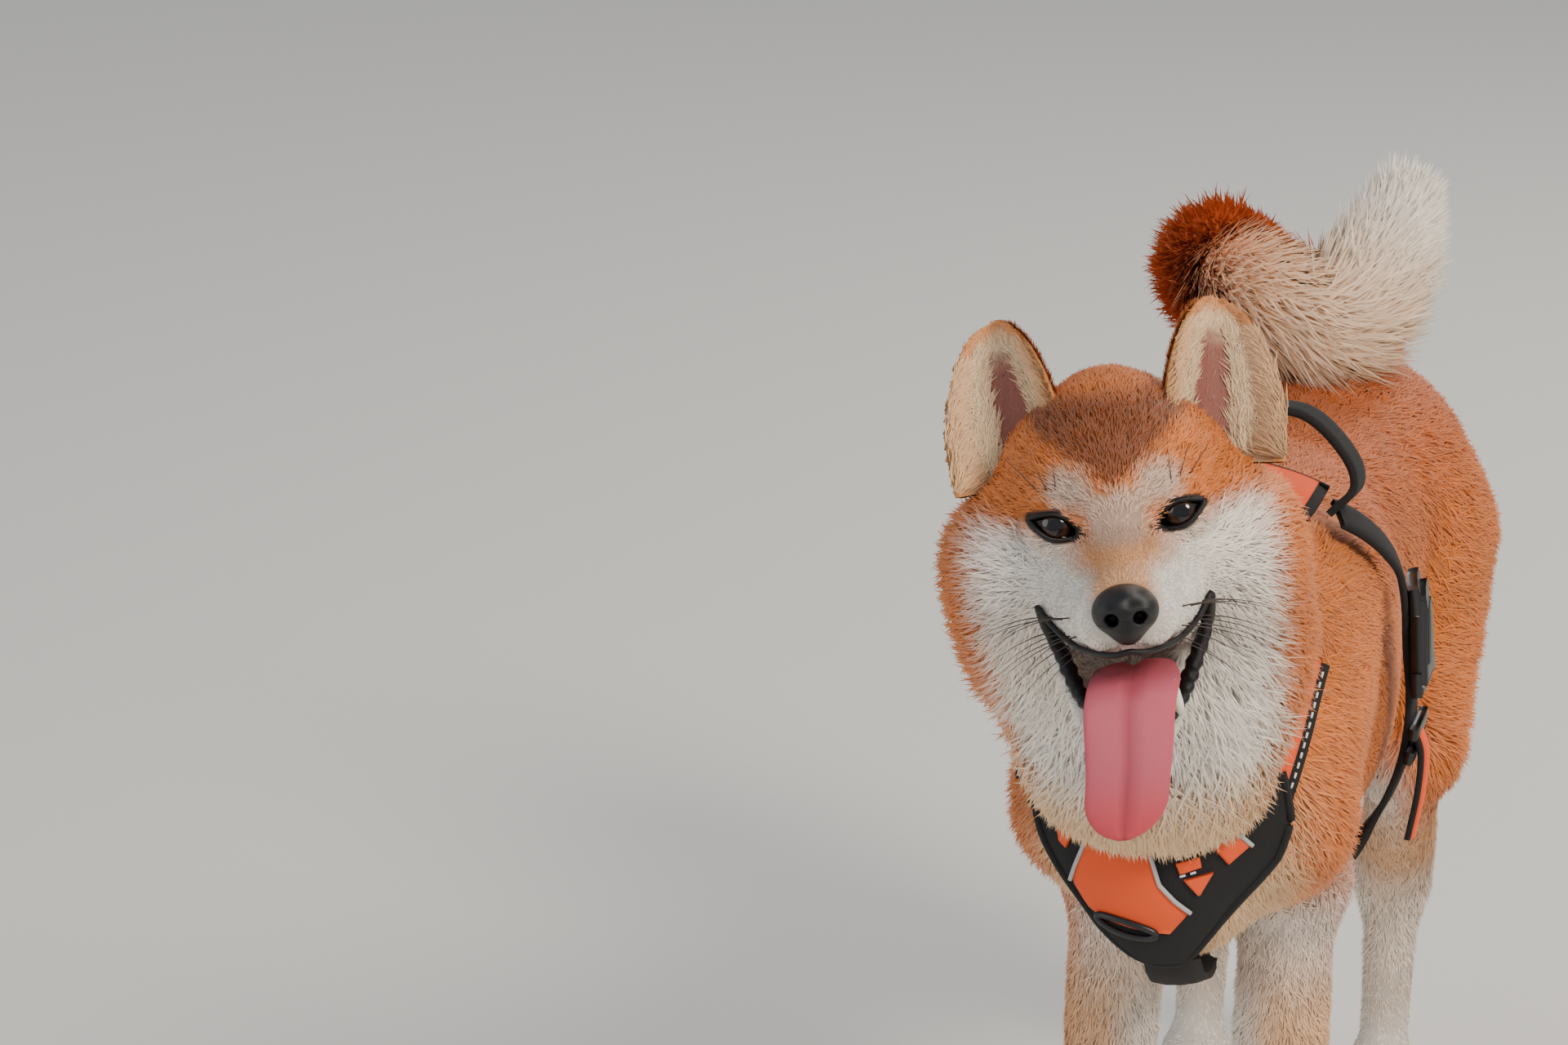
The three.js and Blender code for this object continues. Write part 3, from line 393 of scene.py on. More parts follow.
def markings(p):
    """The coat's colour at places in the dog's frame."""
    x, y, z = p[:, 0], p[:, 1], p[:, 2]
    h = turn(p, HEAD_INV)
    hx, hy, hz = h[:, 0], h[:, 1], h[:, 2]
    side = np.abs(hx)
    under = smooth(236, 205, z) * smooth(-160, -120, y) * smooth(70, 48, np.abs(x - 0.5 * SWAY))
    chest = smooth(-120, -170, y) * smooth(300, 250, z) * smooth(62, 40, np.abs(x))
    front = smooth(-190, -225, y) * smooth(395, 365, z) * smooth(74, 48, np.abs(x + 8))
    leg = smooth(205, 150, z)
    inner = leg * smooth(40, 22, np.abs(x)) + smooth(60, 40, z)
    color = layered(
        plain(RED, p),
        (DEEP_RED, 0.75 * smooth(300, 380, z) * smooth(-120, -20, y)),
        (WHITE, 0.85 * under),
        (CREAM, 0.8 * chest),
        (CREAM, 0.85 * front),
        (LEG_TAN, 0.8 * leg),
        (WHITE, 0.85 * np.clip(inner, 0, 1)),
        (WHITE, 0.7 * (smooth(120, 160, y) * smooth(150, 110, z))),
    )
    on_head = smooth(118, 96, np.sqrt(hx ** 2 + (hy - 20) ** 2 + (hz + 10) ** 2))
    # Darker forehead wedge: partly the coat's own darker hair, partly painted shade on the forehead; it fades
    # out towards the top of the head, where the light falls
    wedge_and_shade = smooth(4, -6, side - np.clip((hz - 11) * 1.15, -5, 34))
    wedge_and_shade = wedge_and_shade * smooth(8, 16, hz) * smooth(54, 42, hz) * smooth(64, 30, hy)
    cheek = smooth(9, 20, side) * smooth(2, -14, hz - 0.12 * side) * smooth(66, 50, side + 0.22 * hy)
    brow = smooth(13, 4, np.hypot(side - 17, hz - 13)) * smooth(24, 4, hy)
    between = smooth(15, 8, side) * smooth(-16, -6, hz) * smooth(15, 8, hz) * smooth(20, 0, hy)
    muzzle = smooth(0, -16, hy) * smooth(-12, -24, hz + 0.2 * np.minimum(0, hy + 20))
    bridge = smooth(16, 8, side) * smooth(6, -8, hy) * smooth(-34, -26, hz) * smooth(-4, -12, hz)
    tear = smooth(9, 3, np.hypot(side - 17, hz + 11)) * smooth(10, 0, hy)
    throat = smooth(-44, -62, hz) * smooth(58, 36, side) * smooth(66, 40, hy)
    chops = smooth(9, 3, np.abs(distance(MOUTH_SPACE, hx, hy, hz))) * smooth(-20, -40, hy)
    face = layered(
        plain(RED, p),
        (WEDGE_BROWN_AND_SHADE, 0.8 * wedge_and_shade),
        (WHITE, 0.96 * cheek),
        (PALE_BROW, 0.85 * brow),
        (PALE_BROW, 0.8 * between),
        (WHITE, 0.95 * muzzle),
        (TAN, 0.85 * bridge),
        (TAN, 0.5 * tear),
        (WHITE, throat),
        (CHOP_GREY, 0.45 * chops),
    )
    blotch = 1 + 0.07 * ripple(p, 34.0) + 0.05 * ripple(p + 50, 11.0)
    return (color * (1 - on_head[:, None]) + face * on_head[:, None]) * blotch[:, None]


def ripple(p, size):
    """A soft uneven tone between about -1 and 1, from waves that don't line up."""
    q = np.asarray(p) / size
    waves = np.sin(q @ [1.0, 2.3, 0.6]) + np.sin(q @ [-2.1, 0.7, 1.4] + 1.3)
    return (waves + np.sin(q @ [0.5, -1.2, 2.6] + 4.1)) / 2.2


def drift(p, *waves):
    """An uneven direction: each wave is (start, size)."""
    return np.stack([ripple(p + start, size) for start, size in waves], 1)


def new_material(name, roughness):
    mat = bpy.data.materials.new(name)
    mat.use_nodes = True
    shader = mat.node_tree.nodes["Principled BSDF"]
    shader.inputs["Roughness"].default_value = roughness
    return mat, shader


def coat_material(name, roughness=0.62):
    mat, shader = new_material(name, roughness)
    nodes, links = mat.node_tree.nodes, mat.node_tree.links
    color = nodes.new("ShaderNodeAttribute")
    color.attribute_name = "coat"
    noise = nodes.new("ShaderNodeTexNoise")
    noise.inputs["Scale"].default_value = 260.0
    noise.inputs["Detail"].default_value = 3.0
    tone = nodes.new("ShaderNodeMapRange")
    tone.inputs["To Min"].default_value = 0.86
    tone.inputs["To Max"].default_value = 1.1
    scale = nodes.new("ShaderNodeVectorMath")
    scale.operation = "SCALE"
    links.new(noise.outputs["Fac"], tone.inputs["Value"])
    links.new(color.outputs["Color"], scale.inputs[0])
    links.new(tone.outputs["Result"], scale.inputs["Scale"])
    links.new(scale.outputs[0], shader.inputs["Base Color"])
    shader.inputs["Specular IOR Level"].default_value = 0.3
    return mat


COAT = coat_material("coat")

# Skin: a coarse grid for the body and a fine one for the head, from one field
axes = [grid_axis(i) for i in range(3)]
gx, gy, gz = axes[0][:, None, None], axes[1][None, :, None], axes[2][None, None, :]
whole, below, bare = all_fields(gx, gy, gz)
tail_core, _ = tail_distance(gx, gy, gz, TAIL_CORE)
under = np.minimum(whole + coat_depth(gx, gy, gz), tail_core)
body_points, body_quads = level_mesh(np.clip(under, -8, 8), 0.0, SKIN_LOW, SKIN_STEP)


def sample(values, p, origin=SKIN_LOW, step=SKIN_STEP):
    """Value of a grid between its places."""
    q = (np.asarray(p) - origin) / step
    q = np.clip(q, 0, np.array(values.shape) - 1.001)
    i = q.astype(np.int32)
    f = (q - i).astype(np.float32)
    out = 0
    for c in range(8):
        o = np.array([c & 1, (c >> 1) & 1, c >> 2])
        w = np.prod(np.where(o, f, 1 - f), axis=1)
        j = i + o
        out = out + w * values[j[:, 0], j[:, 1], j[:, 2]]
    return out


def slope(values, p, origin=SKIN_LOW, step=SKIN_STEP, reach=2.0):
    """Way out of the skin at places."""
    g = [sample(values, p + d, origin, step) - sample(values, p - d, origin, step) for d in np.eye(3) * reach]
    return unit(np.stack(g, 1))


HEAD_LOW, HEAD_HIGH, HEAD_STEP = np.array([-92.0, -84.0, -116.0]), np.array([92.0, 92.0, 76.0]), 1.3
HEAD_REACH = 84.0
EYE_SLANT = math.radians(22)
EYE_HALF, EYE_UP, EYE_DOWN = 9.0, 4.9, 4.2
LID_RADIUS = EYE_RADIUS + 0.9


def in_eye_plane(hx, hz, s):
    """Outwards and upwards from an eye's middle, along its slanted opening."""
    dx, dz = s * hx - EYE.x, hz - EYE.z
    cosine, sine = math.cos(EYE_SLANT), math.sin(EYE_SLANT)
    return dx * cosine + dz * sine, dz * cosine - dx * sine


def almond(hx, hz, s):
    """About how far a place is outside the eye's almond opening."""
    u, v = in_eye_plane(hx, hz, s)
    high = np.where(v > 0, EYE_UP, EYE_DOWN)
    share = np.sqrt((u / EYE_HALF) ** 2 + (v / high) ** 2 * (1 + 0.9 * np.minimum(1.4, (u / EYE_HALF) ** 2)))
    return (share - 1) * 4.4


def head_surface():
    ax = [np.arange(HEAD_LOW[i], HEAD_HIGH[i], HEAD_STEP, dtype=np.float32) for i in range(3)]
    hx, hy, hz = ax[0][:, None, None], ax[1][None, :, None], ax[2][None, None, :]
    shape = (len(ax[0]), len(ax[1]), len(ax[2]))
    h = np.stack([np.broadcast_to(a, shape).ravel() for a in (hx, hy, hz)], 1)
    at = turn(h, HEAD).astype(np.float32)
    d = with_head(sample(below, at).reshape(shape), hx, hy, hz)
    depth = coat_depth(*(at[:, k].reshape(shape) for k in range(3)))
    d = d + depth
    for s in (1, -1):
        ball_ = np.sqrt((hx - s * EYE.x) ** 2 + (hy - EYE.y) ** 2 + (hz - EYE.z) ** 2) - LID_RADIUS
        d = soften(d, ball_, 4.0)
        d = np.where(hy < EYE.y + 2, np.maximum(d, -almond(hx, hz, s)), d)
    return d.astype(np.float32)


head_under = head_surface()
head_points, head_quads = level_mesh(np.clip(head_under, -4, 4), 0.0, HEAD_LOW, HEAD_STEP)
middle = np.array([0, 4, -14])
near_head = np.linalg.norm(head_points[head_quads].mean(axis=1) - middle, axis=1) < HEAD_REACH
head_quads = head_quads[near_head]
of_body = np.linalg.norm(turn(body_points[body_quads].mean(axis=1), HEAD_INV) - middle, axis=1)
body_quads = body_quads[of_body > HEAD_REACH - 3]


def used(points, quads):
    keep_, inverse = np.unique(quads, return_inverse=True)
    return points[keep_], inverse.reshape(quads.shape)


head_points, head_quads = used(head_points, head_quads)
body_points, body_quads = used(body_points, body_quads)
skin_points = np.concatenate([body_points, turn(head_points, HEAD)])
skin_quads = np.concatenate([body_quads, head_quads + len(body_points)])[:, ::-1]


def skin_colors(p):
    """Markings darkened as painted shade under the coat, with black lids and lips, and a dark red mouth."""
    # The skin lies under the hair, so its markings are darkened to 0.6 as painted shade
    color = markings(p) * 0.6
    h = turn(p, HEAD_INV)
    hx, hy, hz = h.T
    front = smooth(6, 0, hy)
    for s in (1, -1):
        color = mix(color, LIP_BLACK, smooth(3.2, 1.6, almond(hx, hz, s)) * front * (s * hx > 0))
    cavity = smooth(2.6, 0.8, distance(MOUTH_SPACE, hx, hy, hz))
    color = mix(color, LIP_BLACK, cavity)
    deep = cavity * smooth(-30, -8, hy)
    return mix(color, srgb(96, 40, 44), 0.8 * deep)


skin = new_mesh("skin", skin_points, skin_quads)
paint(skin, skin_colors(skin_points))
skin.data.materials.append(COAT)
FLESH = [
    "chest", "loin", "hindquarters", "neck", "head", "lower_jaw", "tail",
    *[f"{part}_{side}" for part in ("foreleg", "forepaw", "thigh", "hind_leg", "hind_paw")
      for side in ("left", "right")],
]
ride(skin, "coat_red", *FLESH)


def way_out(p):
    """Way out of the skin, from the fine grid on the head."""
    h = turn(p, HEAD_INV)
    n = slope(under, p)
    fine = np.linalg.norm(h - middle, axis=1) < HEAD_REACH
    turned = slope(head_under, h[fine], HEAD_LOW, HEAD_STEP, 1.3)
    n[fine] = turned @ np.array(HEAD)[:3, :3].T
    return n


# Roots spread over the skin, more of them where the hairs are short
def scatter(points, quads, count, weight, rng):
    a, b, c, d = (points[quads[:, k]] for k in range(4))
    area = 0.5 * np.linalg.norm(np.cross(c - a, d - b), axis=1) * weight((a + c) / 2)
    pick = rng.choice(len(quads), size=count, p=area / area.sum())
    u, v = rng.random((2, count, 1))
    return (1 - u) * ((1 - v) * a[pick] + v * d[pick]) + u * ((1 - v) * b[pick] + v * c[pick])


def head_weight(p):
    h = turn(p, HEAD_INV)
    return smooth(115, 95, np.linalg.norm(h - [0, 20, -10], axis=1))


def lie_of(p):
    """Direction along which the hair lies, its length and how steeply it stands."""
    h = turn(p, HEAD_INV)
    on_head = head_weight(p)[:, None]
    rot = np.array(HEAD)[:3, :3]
    x, y, z = p.T
    body = np.stack([0.0 * x, np.ones_like(x), -0.5 + 0 * x], 1)
    legs = np.stack([0.0 * x, 0.22 + 0 * x, -1.0 + 0 * x], 1)
    w_leg = smooth(235, 190, z)[:, None]
    front = smooth(-120, -200, y)[:, None]
    chest = np.stack([0.25 * np.sign(x + 6), 0.15 + 0 * x, -1.0 + 0 * x], 1)
    flow = body * (1 - w_leg) + legs * w_leg
    flow = flow * (1 - front) + chest * front
    face = h - np.array([0, -86, -20])
    face[:, 2] -= 0.25 * np.abs(h[:, 0])
    face = unit(face) @ rot.T
    flow = unit(flow) * (1 - on_head) + face * on_head
    hx, hy, hz = h.T
    back = smooth(-30, 60, hy)
    fringe = smooth(34, 62, np.abs(hx) - 0.35 * hz) * back
    head_len = 3.6 + 4.0 * smooth(-30, 10, hy) + 15.0 * fringe
    body_len = 17.0 + 10.0 * smooth(-150, -220, y) * smooth(240, 300, z)
    body_len = body_len + 14.0 * smooth(160, 205, y) * smooth(205, 250, z)
    leg_len = 9.0 - 4.0 * smooth(120, 60, z)
    length = body_len * (1 - w_leg[:, 0]) + leg_len * w_leg[:, 0]
    length = length * (1 - on_head[:, 0]) + head_len * on_head[:, 0]
    lift = 0.20 + 0.12 * on_head[:, 0] * back + 0.08 * front[:, 0] + 0.12 * smooth(150, 200, y)
    flow = flow + 0.14 * drift(p, (0, 21.0), (90, 25.0), (200, 23.0))
    return flow, length, lift


UV_PATCH = 0.0015  # size of a blade in the unwrap
FLOOR_GAP = 0.3


def tufts(name, p, n, flow, length, lift, width, color, tip_color, uv, rng, blades=3, spread=0.28):
    """Joined tufts: each is a few tapered blades that share a root."""
    count = len(p)
    flow = flow - n * np.sum(flow * n, axis=1, keepdims=True)
    flow = unit(flow + 0.02 * rng.standard_normal(flow.shape))
    side = np.cross(flow, n)
    verts = np.empty((count, blades, 5, 3), dtype=np.float32)
    normals = np.empty_like(verts)
    tones = np.empty((count, blades, 5, 3), dtype=np.float32)
    coords = np.empty((count, blades, 5, 2), dtype=np.float32)
    clump = rng.normal(0, 0.16, (count, 1))
    for b in range(blades):
        a = clump + rng.normal(0, spread, (count, 1))
        d = flow * np.cos(a) + side * np.sin(a)
        s = side * np.cos(a) - flow * np.sin(a)
        rise = (lift * rng.uniform(0.75, 1.3, count))[:, None]
        reach = (length * rng.uniform(0.72, 1.12, count))[:, None]
        w = (width * rng.uniform(0.7, 1.15, count))[:, None]
        root = p + s * rng.normal(0, 0.9, (count, 1)) * w - n * 0.6
        mid = root + (d * np.cos(rise * 1.25) + n * np.sin(rise * 1.25)) * reach * 0.5
        tip = mid + (d * np.cos(rise * 0.55) + n * np.sin(rise * 0.55)) * reach * 0.5
        corners = [root - s * w / 2, root + s * w / 2, mid - s * w * 0.42, mid + s * w * 0.42, tip]
        verts[:, b] = np.stack(corners, 1)
        up = unit(n + 0.25 * d)
        left, right = unit(up - 0.45 * s), unit(up + 0.45 * s)
        normals[:, b] = np.stack([left, right, left, right, up], 1)
        tone = rng.uniform(0.84, 1.14, (count, 1))
        # Roots darkened to 0.62 of the hair colour: painted shade deep in the coat
        shaded_root_tone = color * tone * 0.62
        mid_tone = color * tone
        tip_tone = tip_color * tone
        tones[:, b] = np.stack([shaded_root_tone, shaded_root_tone, mid_tone, mid_tone, tip_tone], 1)
        coords[:, b] = np.stack([uv + np.array(o) * UV_PATCH for o in
                                 ((-1, -1), (1, -1), (-0.8, 0), (0.8, 0), (0, 1))], 1)
    verts[..., 2] = np.maximum(verts[..., 2], FLOOR_GAP)
    base = np.arange(count * blades, dtype=np.int32)[:, None] * 5
    faces = np.concatenate([base + f for f in ([[0, 1, 3]], [[0, 3, 2]], [[2, 3, 4]])], 1).reshape(-1, 3)
    obj = new_mesh(name, verts.reshape(-1, 3), faces)
    paint(obj, tones.reshape(-1, 3))
    layer = obj.data.uv_layers.new(name="OFBake")
    layer.data.foreach_set("uv", coords.reshape(-1, 2)[faces.ravel()].astype(np.float32).ravel())
    obj.data.normals_split_custom_set_from_vertices(normals.reshape(-1, 3))
    obj.data.materials.append(COAT)
    return obj


# Unwrap: each region of the skin is rolled out round its own axis, into its own tile
def unwrap(p, centre, axis, tile, reach):
    axis = unit(np.array(axis, dtype=float))
    other = unit(np.cross(axis, [0.3, 0.1, 0.95]))
    third = np.cross(axis, other)
    q = p - np.array(centre)
    along = np.clip(q @ axis / reach * 0.5 + 0.5, 0, 1)
    round_ = np.arctan2(q @ third, q @ other) / (2 * math.pi) + 0.5
    tx, ty = tile % 4, tile // 4
    return np.stack([(tx + 0.02 + 0.96 * round_) / 4, (ty + 0.02 + 0.96 * along) / 4], 1)


REGIONS = [
    # name, centre, axis, half length, share of tufts, wanted places
    ("coat_head", (-8, -245, 410), (0, 1, 0), 130, 21000, lambda p: head_weight(p) > 0.5),
    ("coat_neck", (-4, -180, 340), (0, -0.6, 0.8), 120, 21000,
     lambda p: (head_weight(p) <= 0.5) & (p[:, 2] > p[:, 1] + 455) & (p[:, 1] < -70)),
    ("coat_chest", (0, -80, 280), (0, 1, 0), 150, 21000,
     lambda p: (head_weight(p) <= 0.5) & (p[:, 2] <= p[:, 1] + 455) & (p[:, 1] < -10) & (p[:, 2] > 195)),
    ("coat_loin", (5, 40, 300), (0, 1, 0), 80, 17000,
     lambda p: (p[:, 1] >= -10) & (p[:, 1] < 95) & (p[:, 2] > 195)),
    ("coat_rump", (SWAY, 150, 310), (0, 1, 0), 90, 21000,
     lambda p: (p[:, 1] >= 95) & (p[:, 2] > 195)),
    ("coat_forelegs", (0, -120, 110), (0, 0, 1), 110, 14000, lambda p: (p[:, 1] < 0) & (p[:, 2] <= 195)),
    ("coat_hindlegs", (0, 160, 110), (0, 0, 1), 110, 14000, lambda p: (p[:, 1] >= 0) & (p[:, 2] <= 195)),
]
COVER = 1  # fewer blades are made wider


def tuft_count(full):
    return int(full * (1))


def face_weight(p):
    return 1.0 + 2.2 * smooth(40, -30, turn(p, HEAD_INV)[:, 1])


def even_weight(p):
    return np.ones(len(p))


def off_tail(p):
    d, _ = tail_distance(p[:, 0], p[:, 1], p[:, 2], TAIL_CORE + 3)
    return d > 0


def free_of_face(p):
    """Keeps hair off the eyes, nose, lips and the inside of the mouth."""
    h = turn(p, HEAD_INV)
    hx, hy, hz = h.T
    lids = np.minimum(*[np.where(s * hx > 0, almond(hx, hz, s), 9.0) for s in (1, -1)])
    lids = np.where(hy < 8, lids, 9.0)
    nose = np.linalg.norm((h - np.array(NOSE + Vector((0, -4, 0)))) / [14, 13, 11.5], axis=1)
    mouth = distance(MOUTH_SPACE, hx, hy, hz)
    return (lids > 2.0) & (nose > 1) & (mouth > 2.0)


rng = np.random.default_rng(SEED)
for tile, (name, centre, axis, reach, share, wanted) in enumerate(REGIONS):
    keep = wanted(skin_points[skin_quads].mean(axis=1))
    quads = skin_quads[keep]
    weight = face_weight if name == "coat_head" else even_weight
    p = scatter(skin_points, quads, tuft_count(share), weight, rng)
    p = p[free_of_face(p) & off_tail(p) & (p[:, 2] > 2)]
    n = way_out(p)
    flow, length, lift = lie_of(p)
    width = (0.42 + 0.045 * length) * COVER
    color = markings(p)
    tip = mix(color, WHITE, np.full(len(p), 0.10))
    uv = unwrap(p, centre, axis, tile, reach)
    obj = tufts(name, p, n, flow, length, lift, width, color, tip, uv, rng)
    ride(obj, "coat_red")

# Tail brush
count = tuft_count(17000)
t = rng.uniform(0.0, 1.0, count) ** 0.9
angle = rng.uniform(0, 2 * math.pi, count)
place_at = on_line(t, TAIL_T, TAIL)
ahead = on_line(np.minimum(1, t + 0.02), TAIL_T, TAIL)
behind = on_line(np.maximum(0, t - 0.02), TAIL_T, TAIL)
along = unit(ahead - behind)
across = unit(np.cross(along, [0.2, 0.3, 1.0]))
third = np.cross(along, across)
n = across * np.cos(angle)[:, None] + third * np.sin(angle)[:, None]
p = place_at + n * (TAIL_CORE * tail_swell(t))[:, None]
ring = np.array([-2.0, 170.0, 425.0])
outer = smooth(-0.2, 0.6, np.sum(unit(place_at - ring) * n, axis=1))
length = (27 + 12 * outer) * (0.6 + 0.4 * smooth(0.0, 0.2, t)) * (1 - 0.35 * smooth(0.75, 1, t))
lift = 0.55 - 0.1 * smooth(0.8, 1, t)
along = unit(along + 0.25 * drift(place_at, (0, 19.0), (60, 17.0), (99, 23.0)))
pale = smooth(0.45, 0.75, t)
color = plain(RED, p) * (1.0 + 0.1 * outer)[:, None]
color = layered(color, (CREAM, 0.8 * pale), (WHITE, 0.9 * smooth(0.72, 0.95, t)))
tip = mix(color, WHITE, 0.15 + 0.3 * pale)
uv = np.stack([3 / 4 + 0.01 + 0.23 * angle / (2 * math.pi), 3 / 4 + 0.01 + 0.23 * t], 1)
width = np.full(len(p), 2.2 * COVER)
obj = tufts("coat_tail", p, n, along, length, lift, width, color, tip, uv, rng, blades=3, spread=0.2)
ride(obj, "coat_red")


# Face pieces, all made in the head's frame
def tube(points, radii, around=8, flat=1.0, steps=0):
    """A closed tube through places, flattened across its first turn."""
    points, radii = np.asarray(points, float), np.broadcast_to(radii, (len(points),)).astype(float)
    if steps:
        line = tail_line(points, steps)
        radii = np.interp(np.linspace(0, 1, steps + 1), np.linspace(0, 1, len(points)), radii)
        points = line
    along = unit(np.gradient(points, axis=0))
    side = unit(np.cross(along, np.array([0.13, 0.21, 0.97])))
    up = np.cross(side, along)
    angle = np.linspace(0, 2 * math.pi, around, endpoint=False)
    ring = side[:, None] * np.cos(angle)[None, :, None] + flat * up[:, None] * np.sin(angle)[None, :, None]
    verts = points[:, None] + ring * radii[:, None, None]
    n = len(points)
    quads = ring_quads(n, around)
    fan = np.arange(1, around - 1, 2)
    caps = [[0, (f + 2) % around, f + 1, f] for f in fan] + [
        [(n - 1) * around + o for o in (0, f, f + 1, (f + 2) % around)] for f in fan]
    caps = [c for c in caps if len(set(c)) == 4]
    return verts.reshape(-1, 3), np.concatenate([quads, np.array(caps).reshape(-1, 4)])


def joined(parts):
    verts, faces, base = [], [], 0
    for v, f in parts:
        verts.append(v)
        faces.append(f + base)
        base += len(v)
    return np.concatenate(verts), np.concatenate(faces)


def head_piece(name, parts, mat, slot, *nodes):
    verts, faces = joined(parts)
    obj = new_mesh(name, turn(verts, HEAD), faces)
    obj.data.materials.append(mat)
    return ride(obj, slot, *nodes)


def settle_on_head(points, lift=0.0):
    """Places moved onto the skin of the head."""
    h = np.array(points, float)
    for _ in range(8):
        d = sample(head_under, h, HEAD_LOW, HEAD_STEP) - lift
        h -= slope(head_under, h, HEAD_LOW, HEAD_STEP, 1.3) * np.clip(d, -2, 2)[:, None]
    return h


def simple(name, color, roughness, **sockets):
    mat, shader = new_material(name, roughness)
    shader.inputs["Base Color"].default_value = (*color, 1)
    for key, value in sockets.items():
        shader.inputs[key.replace("_", " ")].default_value = value
    return mat


def bumped(mat, scale, strength, reach=0.0004, kind="ShaderNodeTexNoise"):
    """Adds a fine relief to a material."""
    nodes, links = mat.node_tree.nodes, mat.node_tree.links
    texture = nodes.new(kind)
    texture.inputs["Scale"].default_value = scale
    bump = nodes.new("ShaderNodeBump")
    bump.inputs["Strength"].default_value = strength
    bump.inputs["Distance"].default_value = reach
    height = "Distance" if kind == "ShaderNodeTexVoronoi" else "Fac"
    links.new(texture.outputs[height], bump.inputs["Height"])
    links.new(bump.outputs["Normal"], nodes["Principled BSDF"].inputs["Normal"])
    return mat


LIP = bumped(simple("lip_black", srgb(14, 11, 11), 0.36, Specular_IOR_Level=0.35), 900, 0.3)
NOSE_BLACK = simple("nose_black", srgb(11, 10, 10), 0.27, Specular_IOR_Level=0.4)
bumped(NOSE_BLACK, 1100, 0.3, kind="ShaderNodeTexVoronoi")
PINK = bumped(coat_material("tongue_pink", 0.36), 1500, 0.5)
TOOTH = simple("tooth", srgb(240, 232, 214), 0.25)
CLAW = simple("claw", srgb(58, 48, 42), 0.35)
WHISKER = simple("whisker", srgb(52, 40, 34), 0.5)


def lid_rim(s, share, radius, thick, steps=64):
    """Black rim round an eye: thicker and longer towards both corners."""
    a = np.linspace(0, 2 * math.pi, steps + 1)
    u, v = np.cos(a) * (EYE_HALF + share), np.sin(a)
    corner = np.abs(np.cos(a)) ** 3
    v = v * np.where(v > 0, EYE_UP + share, EYE_DOWN + share) * (1 - 0.30 * np.cos(a) ** 2)
    u = u * (1 + 0.10 * corner)
    dx = u * math.cos(EYE_SLANT) - v * math.sin(EYE_SLANT)
    dz = u * math.sin(EYE_SLANT) + v * math.cos(EYE_SLANT)
    y = EYE.y - np.sqrt(np.maximum(20, radius ** 2 - dx * dx - dz * dz))
    path = np.stack([s * (EYE.x + dx), y, EYE.z + dz], 1)
    return tube(path, thick * (1 + 0.5 * corner), 8)


head_piece("eye_rims", [lid_rim(s, 0.5, LID_RADIUS + 0.1, 0.95) for s in (1, -1)], LIP, "nose_leather")

# Eyes: a dark brown iris round a black pupil, painted in rings
GAZE = unit(np.array([0.05, -1.0, 0.06]))


def eye_ball(s, around=48, down=36):
    theta = np.linspace(0, math.pi, down)[:, None]
    phi = np.linspace(0, 2 * math.pi, around, endpoint=False)[None, :]
    side = unit(np.cross(GAZE, [0, 0, 1.0]))
    up = np.cross(side, GAZE)
    swell = 1 + 0.05 * smooth(0.75, 0.3, theta)
    spoke = side * np.cos(phi)[..., None] + up * np.sin(phi)[..., None]
    ring = GAZE * (np.cos(theta) * swell)[..., None] + spoke * (np.sin(theta) * swell)[..., None]
    verts = ring * (EYE_RADIUS - 0.35) + np.array([s * EYE.x, EYE.y, EYE.z])
    tone = np.tile(theta, (1, around)).ravel()
    color = layered(
        plain(srgb(6, 5, 5), tone),
        (srgb(44, 25, 14), smooth(0.30, 0.36, tone)),
        (srgb(14, 9, 7), smooth(0.50, 0.62, tone)),
        (srgb(60, 48, 44), smooth(0.86, 0.98, tone)),
    )
    return verts.reshape(-1, 3), ring_quads(down, around), color


EYE_MAT = coat_material("eye_wet", 0.06)
EYE_MAT.node_tree.nodes["Principled BSDF"].inputs["Specular IOR Level"].default_value = 0.6
for side_name, s in SIDES:
    verts, faces, color = eye_ball(s)
    obj = new_mesh(f"eye_ball_{side_name}", turn(verts, HEAD), faces)
    paint(obj, color)
    obj.data.materials.append(EYE_MAT)
    ride(obj, "eyes", f"eye_{side_name}")

# Nose leather from its own field, with nostrils and the slits beside them
NOSE_STEP = 0.7
nose_low = np.array([-17.0, -76.0, -50.0])
nx, ny, nz = (np.arange(nose_low[i], nose_low[i] + (34, 36, 34)[i], NOSE_STEP) for i in range(3))
nx, ny, nz = nx[:, None, None], ny[None, :, None], nz[None, None, :]
nose_field = field([
    ball((0, NOSE.y - 2, NOSE.z + 1), (13.5, 11.5, 10.5)),
    ball((0, NOSE.y - 5, NOSE.z + 3), (10, 10, 7.5), 4),
    ball((0, NOSE.y - 4, NOSE.z - 5), (7, 8.5, 7.5), 3),
], nx, ny, nz)
for s in (1, -1):
    nostril = ball((s * 5.6, NOSE.y - 12, NOSE.z - 1), (2.7, 6, 2.7))
    slit = limb((s * 7.5, NOSE.y - 12, NOSE.z - 2.2), (s * 12.5, NOSE.y - 7, NOSE.z - 3.4), 1.5, 0.9)
    hole = soften(distance(nostril, nx, ny, nz), distance(slit, nx, ny, nz), 1.5)
    nose_field = -soften(-nose_field, hole, 1.2)
groove = np.hypot(nx, (ny - NOSE.y + 14.5) * 0.8) - 1.3 + 0.0 * nz
nose_field = np.where(nz < NOSE.z - 2, -soften(-nose_field, groove, 1.0), nose_field)
verts, faces = level_mesh(np.clip(nose_field, -3, 3), 0.0, nose_low, NOSE_STEP)
head_piece("nose_pad", [(verts, faces[:, ::-1])], NOSE_BLACK, "nose_leather", "nose")

